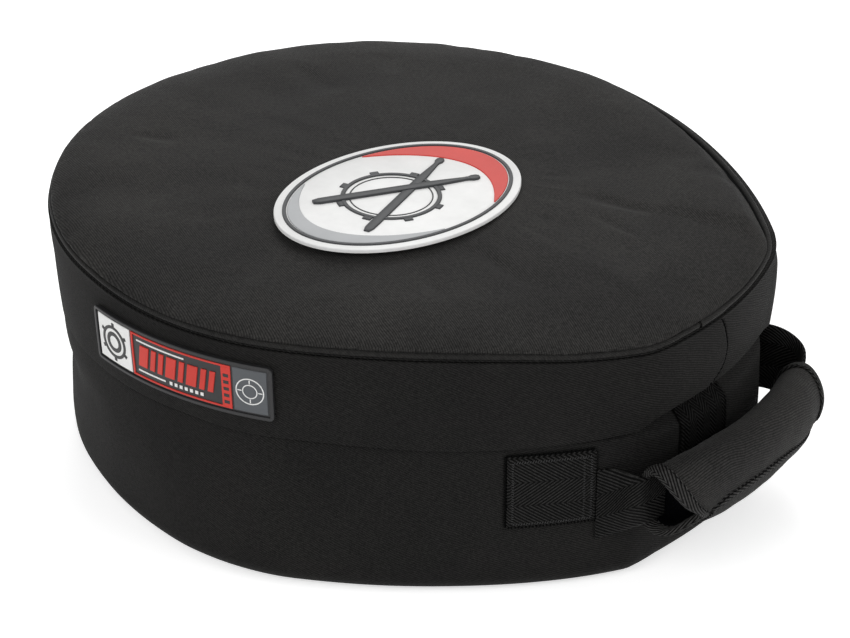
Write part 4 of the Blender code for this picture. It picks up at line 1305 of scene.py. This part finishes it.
def grip_cloth(y, turn, out=0.0):
    """The padded wrap with its soft waves, calm near both ends."""
    p = grip_surface(y, turn, out)
    wave = 0.0007 * wobble(p, 0.030, 51.0) + 0.0003 * wobble(p, 0.012, 52.0)
    normal = (grip_surface(y, turn, out + 0.001) - p).normalized()
    return p + normal * (wave * smooth((grip_half_length - abs(y)) / 0.02))


def grip_rings(sign, rows):
    """Rings round the grip, each at a depth from one end and moved off the wrap."""
    return [[grip_surface(sign * (grip_half_length - deep), turn, out) for turn in grip_turns]
            for deep, out in rows]


def tape_span(y):
    """Lowest and highest turn of the tape along the wrap's edge."""
    share = (y + grip_half_length) / (2.0 * grip_half_length)
    high = 9.0 - 20.0 * smooth((share - 0.45) / 0.5) - 16.0 * smooth((0.20 - share) / 0.2)
    return math.radians(-44.0), math.radians(high)


# Depth from the grip's end and distance off the wrap, for the cap, the end tape and the dark plug that is
# painted shade inside each opening
GRIP_CAP = ((0.0, -0.0022), (0.012, -0.0026), (0.024, -0.0040), (0.030, -0.0080), (0.032, -0.0130))
END_TAPE = ((0.0068, 0.0), (0.0066, 0.0011), (0.0060, 0.0014), (0.0045, 0.0015), (0.0025, 0.0015),
            (0.0010, 0.0014), (-0.0003, 0.0008), (-0.0007, -0.0006), (-0.0003, -0.0024), (0.0020, -0.0034),
            (0.0060, -0.0034), (0.0090, -0.0032), (0.0090, -0.0024))
GRIP_SHADE_PLUG = ((0.0130, -0.0125), (0.0120, -0.0085), (0.0108, -0.0052), (0.0084, -0.0034), (0.0062, -0.0030),
             (0.0062, -0.0035), (0.0080, -0.0042), (0.0100, -0.0060), (0.0112, -0.0090), (0.0118, -0.0125))


def build_grip():
    """The padded wrap of the handle, its taped ends and taped lower edge."""
    stations = 70
    lengths = [-grip_half_length + 2.0 * grip_half_length * i / stations for i in range(stations + 1)]
    columns = grip_rings(-1.0, GRIP_CAP)[::-1]
    columns += [[grip_cloth(y, turn) for turn in grip_turns] for y in lengths]
    columns += grip_rings(1.0, GRIP_CAP)
    cover = grid("grip_cover", columns, NYLON_GRIP_PAINTED_LIGHT, loop=True, caps=True, sharp=60.0)
    dress(cover, "handle", ("grip_sleeve", "grip_padding", "grip_closure_flap"))

    for name, sign in (("front", -1.0), ("back", 1.0)):
        columns = grip_rings(sign, END_TAPE)
        across = [0.0]
        for near, far in zip(columns, columns[1:]):
            across.append(across[-1] + (far[0] - near[0]).length)
        flipped = [list(column) for column in zip(*columns)]
        v = [across + [across[-1]]] * grip_sides
        round_grip = [0.0022 * j for j in range(grip_sides + 1)]
        ring = grid(f"grip_tape_{name}", flipped, TAPE, u=round_grip, v=v, ring=True, sharp=60.0)
        dress(ring, "handle", [f"grip_end_binding_{name}"])
        # A dark plug just inside each end: painted shade in the opening.
        shade_plug = grip_rings(sign, GRIP_SHADE_PLUG)
        dress(grid(f"grip_hollow_shade_{name}", shade_plug, HOLLOW_PAINTED_SHADE, loop=True, caps=True, sharp=60.0), "handle")

    columns = []
    row = [0.0200 * j / 14.0 for j in range(15)]
    for i in range(57):
        y = -0.0690 + (0.0690 + 0.0710) * i / 56.0
        low, high = tape_span(y)
        outer, under = [], []
        for j in range(15):
            turn = low + (high - low) * j / 14.0
            edge = min(j, 14 - j) / 14.0
            out = 0.0010 * smooth(edge / 0.08) + 0.0003 + 0.0006 * math.sin(math.pi * j / 14.0)
            outer.append(grip_cloth(y, turn, out))
            under.append(grip_cloth(y, turn))
        columns.append(outer + under[::-1])
    v = [row + row[::-1] + [0.0]] * len(columns)
    edge = grid("grip_tape_edge", columns, TAPE, v=v, loop=True, caps=True, sharp=60.0)
    dress(edge, "handle", ["grip_edge_binding"])

    def off(y, turn):
        """The direction away from the grip."""
        return (grip_point(y, turn, 0.001) - grip_point(y, turn)).normalized()

    paths = []
    for side, inwards in ((0, 1.5), (1, -1.5)):
        path = []
        for i in range(61):
            y = -0.068 + 0.138 * i / 60.0
            turn = tape_span(y)[side] + math.radians(inwards)
            path.append((grip_cloth(y, turn, 0.0008), off(y, turn)))
        paths.append(path)
    for sign in (-1.0, 1.0):
        y = sign * (grip_half_length - 0.0056)
        turns = [2.0 * math.pi * j / grip_sides for j in range(grip_sides + 1)]
        paths.append([(grip_surface(y, turn, 0.0012), off(y, turn)) for turn in turns])
    stitches("grip_stitches", paths, THREAD, "handle", 0.0028, 0.0005, 0.00040)


# The badge and the label

def badge_place(x, y, z):
    """A point of the badge's own plan, long axis first, at a height."""
    return Matrix.Rotation(badge_turn, 3, "Z") @ Vector((x, y, 0.0)) + Vector((badge_x, badge_y, z))


def label_place(x, y, out):
    """A point of the label's own plan, from its lower left corner, lifted off the skirt."""
    z = label_low + y
    t = (skirt_top - z) / (skirt_top - flap_edge)
    plain = skirt_lean * t * (0.45 + 0.55 * t)
    return at(label_start + x / round_radius, plain - 0.0010 - out, z)


def offset_outline(points, shrink):
    """A closed outline drawn in along its own normals."""
    area = sum(a[0] * b[1] - b[0] * a[1] for a, b in zip(points, points[1:] + points[:1]))
    sign = 1.0 if area > 0.0 else -1.0
    out = []
    for i, p in enumerate(points):
        a = points[i - 1]
        b = points[(i + 1) % len(points)]
        dx, dy = b[0] - a[0], b[1] - a[1]
        size = math.hypot(dx, dy) or 1.0
        out.append((p[0] - sign * dy / size * shrink, p[1] + sign * dx / size * shrink))
    return out


def raised(name, outlines, low, high, place, mat, bevel=0.0003):
    """Extruded shapes with a softened top edge."""
    verts, faces = [], []
    for outline in outlines:
        closed_bands(faces, len(verts), 4, len(outline))
        for points, z in ((outline, low), (outline, high - bevel),
                          (offset_outline(outline, bevel * 0.4), high - bevel * 0.3),
                          (offset_outline(outline, bevel), high)):
            verts += [place(x, y, z) for x, y in points]
    obj = finish_mesh(name, verts, faces, mat, None, 40.0)
    bm = bmesh.new()
    bm.from_mesh(obj.data)
    bmesh.ops.triangulate(bm, faces=[f for f in bm.faces if len(f.verts) > 4])
    bm.to_mesh(obj.data)
    bm.free()
    return obj


def oval(long, wide, count=96, x=0.0, y=0.0):
    """Points of an oval."""
    turns = [2.0 * math.pi * i / count for i in range(count)]
    return [(x + long * math.cos(turn), y + wide * math.sin(turn)) for turn in turns]


def ring_shape(name, outer, inner, low, high, place, mat, bevel=0.0003):
    """A raised ring between two outlines with the same number of points."""
    rows = []
    for points, z in ((outer, low), (outer, high - bevel), (offset_outline(outer, bevel), high),
                      (offset_outline(inner, -bevel), high), (inner, high - bevel), (inner, low)):
        rows.append([place(x, y, z) for x, y in points])
    return grid(name, [list(column) for column in zip(*rows)], mat, ring=True, loop=True, sharp=40.0)


def round_ring(name, outer, inner, count, x, y, low, high, place, mat, bevel=0.0003):
    """A raised ring between two circles."""
    return ring_shape(name, oval(outer, outer, count, x, y), oval(inner, inner, count, x, y), low, high,
                      place, mat, bevel)


def lugs(count, first, x, y, x0, x1, half):
    """Small boxes set round a circle, as flat outlines."""
    boxes = []
    for i in range(count):
        turn = math.radians(first + 360.0 / count * i)
        c, s = math.cos(turn), math.sin(turn)
        box = ((x0, -half), (x1, -half), (x1, half), (x0, half))
        boxes.append([(x + c * u - s * v, y + s * u + c * v) for u, v in box])
    return boxes


def crescent(name, widest, start, stop, low, high, mat):
    """A raised sliver of the badge that follows its oval and runs out at both ends."""
    count = 64
    bevel = 0.0003
    columns = []
    for i in range(count + 1):
        t = i / count
        turn = math.radians(start + (stop - start) * t)
        width = 0.0008 + widest * math.sin(math.pi * t) ** 0.9
        c, s = math.cos(turn), math.sin(turn)
        rows = ((0.0, low), (0.0, high - bevel), (bevel, high), (width * 0.35, high), (width * 0.7, high),
                (width - bevel, high), (width, high - bevel), (width, low))
        columns.append([badge_place((0.0735 - share) * c, (0.0525 - share) * s, z) for share, z in rows])
    return grid(name, columns, mat, loop=True, caps=True, sharp=40.0)


def stick(side):
    """A tapered rod with a small oval bead at its far end, as a flat outline."""
    a, b = Vector((-0.046, -0.024 * side)), Vector((0.050, 0.017 * side))
    d = (b - a).normalized()
    n = Vector((-d.y, d.x))
    length = (b - a).length
    rows = ((0.0, 0.55), (0.004, 0.95), (0.012, 1.0), (length * 0.72, 0.95), (length - 0.010, 0.50),
            (length - 0.0075, 0.55), (length - 0.0055, 0.85), (length - 0.0025, 0.85),
            (length - 0.0006, 0.5 * 0.85))
    left = [tuple(a + d * s + n * (w * 0.0030)) for s, w in rows]
    right = [tuple(a + d * s - n * (w * 0.0030)) for s, w in rows]
    return left + right[::-1]


def build_badge():
    """An oval rubber badge with a plain drum and two crossed sticks."""
    plate = raised("badge_base", [oval(badge_long, badge_wide, 128)], badge_low, badge_low + 0.0022,
                   badge_place, WHITE, 0.0005)
    dress(plate, "lid", ("badge_plate", "badge_band"))
    low = badge_low + 0.0020
    top = badge_low + 0.0030
    dark = (badge_place, CHARCOAL)
    drum_x = -0.006
    pieces = [
        ring_shape("badge_ring", oval(0.0765, 0.0555, 128), oval(0.0742, 0.0532, 128), low, top, *dark),
        crescent("badge_red_arc", 0.0165, -62.0, 78.0, low, top - 0.0003, RED),
        crescent("badge_grey_arc", 0.0105, 118.0, 262.0, low, top - 0.0004, GREY),
        round_ring("badge_drum", 0.0300, 0.0274, 96, drum_x, 0.0, low, top, *dark),
        round_ring("badge_drum_inner", 0.0250, 0.0242, 96, drum_x, 0.0, low, top - 0.0003, *dark),
        raised("badge_lugs", lugs(8, 22.5, drum_x, 0.0, 0.0292, 0.0330, 0.0026), low, top - 0.0001, *dark),
        raised("badge_stick_under", [stick(1.0)], low, top + 0.0002, *dark),
        raised("badge_stick_over", [stick(-1.0)], low, top + 0.0007, *dark)]
    for piece in pieces:
        dress(piece, "lid")


def label_block(name, boxes, low, high, mat, bevel=0.0003, skew=0.0):
    """Raised rectangles on the label, gridded so that they follow its curve."""
    verts, faces = [], []
    for x0, y0, x1, y1 in boxes:
        nx = max(1, round((x1 - x0) / 0.002))
        ny = max(1, round((y1 - y0) / 0.006))
        xs = [x0, x0 + bevel] + [x0 + (x1 - x0) * i / nx for i in range(1, nx)] + [x1 - bevel, x1]
        ys = [y0, y0 + bevel] + [y0 + (y1 - y0) * i / ny for i in range(1, ny)] + [y1 - bevel, y1]
        first = len(verts)
        w, h = len(xs), len(ys)
        for side in (0, 1):
            for i, x in enumerate(xs):
                for j, y in enumerate(ys):
                    border = i in (0, w - 1) or j in (0, h - 1)
                    out = low if side else (high - bevel if border else high)
                    verts.append(label_place(x + skew * (y - y0), y, out))
        for i in range(w - 1):
            for j in range(h - 1):
                p = first + i * h + j
                faces.append((p, p + h, p + h + 1, p + 1))
                q = p + w * h
                faces.append((q + 1, q + h + 1, q + h, q))
        rim = [i * h for i in range(w)] + [(w - 1) * h + j for j in range(1, h)]
        rim += [i * h + h - 1 for i in range(w - 2, -1, -1)] + list(range(h - 2, 0, -1))
        for a, b in zip(rim, rim[1:] + rim[:1]):
            faces.append((first + a, first + a + w * h, first + b + w * h, first + b))
    return finish_mesh(name, verts, faces, mat, None, 40.0)


def rounded_box(x1, y1, r):
    """A closed rounded rectangle from the corner of the plan, with points along its sides."""
    out = []
    for cx, cy, start in ((x1 - r, y1 - r, 0), (r, y1 - r, 90), (r, r, 180), (x1 - r, r, 270)):
        for i in range(7):
            turn = math.radians(start + 90.0 * i / 6)
            out.append((cx + r * math.cos(turn), cy + r * math.sin(turn)))
    dense = []
    for a, b in zip(out, out[1:] + out[:1]):
        n = max(1, round(math.hypot(b[0] - a[0], b[1] - a[1]) / 0.003))
        dense += [(a[0] + (b[0] - a[0]) * i / n, a[1] + (b[1] - a[1]) * i / n) for i in range(n)]
    return dense


def build_label():
    """A moulded rubber label with a raised frame and plain coloured blocks."""
    length = (label_end - label_start) * round_radius
    height = label_high - label_low
    back = label_block("label_base", [(0.0012, 0.0012, length - 0.0012, height - 0.0012)], -0.0006, 0.0010,
                       BLACK)
    dress(back, "lid", ("label_backing", "label_face"))
    outer = rounded_box(length, height, 0.0030)
    frame_ring = ring_shape("label_frame", outer, offset_outline(outer, 0.0022), -0.0006, 0.0021,
                            label_place, BLACK, 0.0004)
    cx, cy = 0.0181, height / 2.0
    x0, x1 = 0.0340, 0.1045
    y0, y1 = 0.0034, height - 0.0034
    lines = [(x0, y1 - 0.0012, x1, y1), (x0, y0, x1, y0 + 0.0012),
             (x0, y0 + 0.0012, x0 + 0.0014, y1 - 0.0012), (x1 - 0.0060, y0 + 0.0012, x1, y1 - 0.0012)]
    bars = []
    x = x0 + 0.0050
    for width in (0.0070, 0.0036, 0.0036, 0.0070, 0.0036, 0.0070, 0.0036, 0.0036):
        bars.append((x, y0 + 0.0078, x + width, y1 - 0.0066))
        x += width + 0.0021
    thin = [(x0 + 0.0045, y1 - 0.0046, x0 + 0.0400, y1 - 0.0036),
            (x0 + 0.0045, y0 + 0.0040, x0 + 0.0255, y0 + 0.0050)]
    x = x0 + 0.0285
    for _ in range(7):
        thin.append((x, y0 + 0.0034, x + 0.0020, y0 + 0.0056))
        x += 0.0036
    rungs = [(x1 - 0.0047, y0 + 0.0030 + 0.0044 * i, x1 - 0.0013, y0 + 0.0052 + 0.0044 * i)
             for i in range(5)]
    dx = (0.1056 + length - 0.0034) / 2.0
    ticks = [(dx - 0.0075, cy - 0.0003, dx - 0.0050, cy + 0.0003),
             (dx + 0.0050, cy - 0.0003, dx + 0.0075, cy + 0.0003),
             (dx - 0.0003, cy + 0.0050, dx + 0.0003, cy + 0.0075),
             (dx - 0.0003, cy - 0.0075, dx + 0.0003, cy - 0.0050)]
    black = (label_place, BLACK, 0.0002)
    white = (label_place, WHITE, 0.0001)
    pieces = [
        frame_ring,
        label_block("label_white", [(0.0034, y0, 0.0328, y1)], 0.0004, 0.0015, WHITE),
        round_ring("label_ring", 0.0105, 0.0086, 64, cx, cy, 0.0010, 0.0019, *black),
        round_ring("label_ring_inner", 0.0066, 0.0040, 64, cx, cy, 0.0010, 0.0018, *black),
        raised("label_lugs", lugs(6, 30.0, cx, cy, 0.0100, 0.0125, 0.0011), 0.0010, 0.0018, *black),
        label_block("label_red_lines", lines, 0.0004, 0.0016, RED, 0.0002),
        label_block("label_red_bars", bars, 0.0004, 0.0017, RED, 0.0003, skew=0.16),
        label_block("label_white_lines", thin, 0.0004, 0.0015, WHITE, 0.0002),
        label_block("label_rungs", rungs, 0.0010, 0.0018, BLACK, 0.0002),
        label_block("label_slate", [(0.1056, y0, length - 0.0034, y1)], 0.0004, 0.0014, SLATE),
        round_ring("label_dial", 0.0086, 0.0079, 64, dx, cy, 0.0009, 0.0017, *white),
        round_ring("label_dial_inner", 0.0046, 0.0040, 48, dx, cy, 0.0009, 0.0017, *white),
        label_block("label_ticks", ticks, 0.0009, 0.0017, WHITE, 0.0001)]
    for piece in pieces:
        dress(piece, "lid")


# Floor, light and camera

WHITE_LIGHT = (1.0, 1.0, 1.0)


def seen_by(tree, *rays):
    """1 for the kinds of ray that are named, 0 for the others."""
    path = node(tree, "LightPath")
    value = path.outputs[f"Is {rays[0]} Ray"]
    for ray in rays[1:]:
        inputs = ((0, value), (1, path.outputs[f"Is {ray} Ray"]))
        value = node(tree, "Math", inputs, operation="MAXIMUM").outputs[0]
    return value


def cleared(owner):
    """The empty node tree of a material or world."""
    owner.use_nodes = True
    owner.node_tree.nodes.clear()
    return owner.node_tree


def lamp(name, place, aim, power, size):
    """A round area lamp."""
    data = bpy.data.lights.new(name, "AREA")
    data.energy = power
    data.shape = "DISK"
    data.size = size
    obj = bpy.data.objects.new(name, data)
    bpy.context.collection.objects.link(obj)
    obj.location = place
    obj.rotation_euler = (Vector(aim) - Vector(place)).to_track_quat("-Z", "Y").to_euler()


def build_stage():
    """Pale floor and soft studio light."""
    mesh = bpy.data.meshes.new("floor")
    size = 4.0
    corners = [(x * size, y * size, -0.0002) for x, y in ((-1, -1), (1, -1), (1, 1), (-1, 1))]
    mesh.from_pydata(corners, [], [(0, 1, 2, 3)])
    floor = bpy.data.objects.new("floor", mesh)
    bpy.context.collection.objects.link(floor)
    mat = bpy.data.materials.new("pale_floor")
    tree = cleared(mat)
    plain = node(tree, "BsdfDiffuse", [("Color", (0.86, 0.86, 0.86))])
    seen = seen_by(tree, "Camera", "Glossy", "Transmission")
    level = node(tree, "Math", ((0, seen), (1, 0.55)), operation="MULTIPLY")
    glow = node(tree, "Emission", (("Color", WHITE_LIGHT), ("Strength", level.outputs[0])))
    add = node(tree, "AddShader", ((0, plain.outputs[0]), (1, glow.outputs[0])))
    node(tree, "OutputMaterial", [("Surface", add.outputs[0])])
    mesh.materials.append(mat)

    world = bpy.data.worlds.new("studio")
    bpy.context.scene.world = world
    tree = cleared(world)
    light = node(tree, "Background", (("Color", WHITE_LIGHT), ("Strength", 0.44)))
    white = node(tree, "Background", (("Color", WHITE_LIGHT), ("Strength", 1.0)))
    inputs = ((0, seen_by(tree, "Camera", "Transmission")), (1, light.outputs[0]), (2, white.outputs[0]))
    node(tree, "OutputWorld", [("Surface", node(tree, "MixShader", inputs).outputs[0])])

    lamp("key", (-0.9, 1.5, 1.9), (0.0, 0.0, 0.1), 24.0, 1.6)
    lamp("front", (-0.1, -2.3, 1.6), (0.05, 0.0, 0.08), 25.0, 1.8)
    lamp("side", (2.1, 0.2, 1.3), (0.1, 0.0, 0.08), 15.0, 1.4)


def build_camera():
    """The photograph's view."""
    data = bpy.data.cameras.new("camera")
    camera = bpy.data.objects.new("camera", data)
    bpy.context.collection.objects.link(camera)
    turn = math.radians(34.232)
    pitch = math.radians(29.74)
    ahead = Vector((-math.sin(turn) * math.cos(pitch), math.cos(turn) * math.cos(pitch), -math.sin(pitch)))
    right = Vector((math.cos(turn), math.sin(turn), 0.0))
    up = right.cross(ahead)
    matrix = Matrix((right, up, -ahead)).transposed().to_4x4()
    matrix.translation = Vector((0.8355, -1.1819, 0.8930))
    camera.matrix_world = matrix
    data.lens = 112.15
    data.sensor_width = 36.0
    bpy.context.scene.camera = camera
    bpy.context.scene.view_settings.view_transform = "Standard"


build_camera()
build_stage()
build_wall()
build_skirt()
build_piping()
build_top()
build_lid_inside()
build_zip()
build_mounts()
build_grip()
build_badge()
build_label()
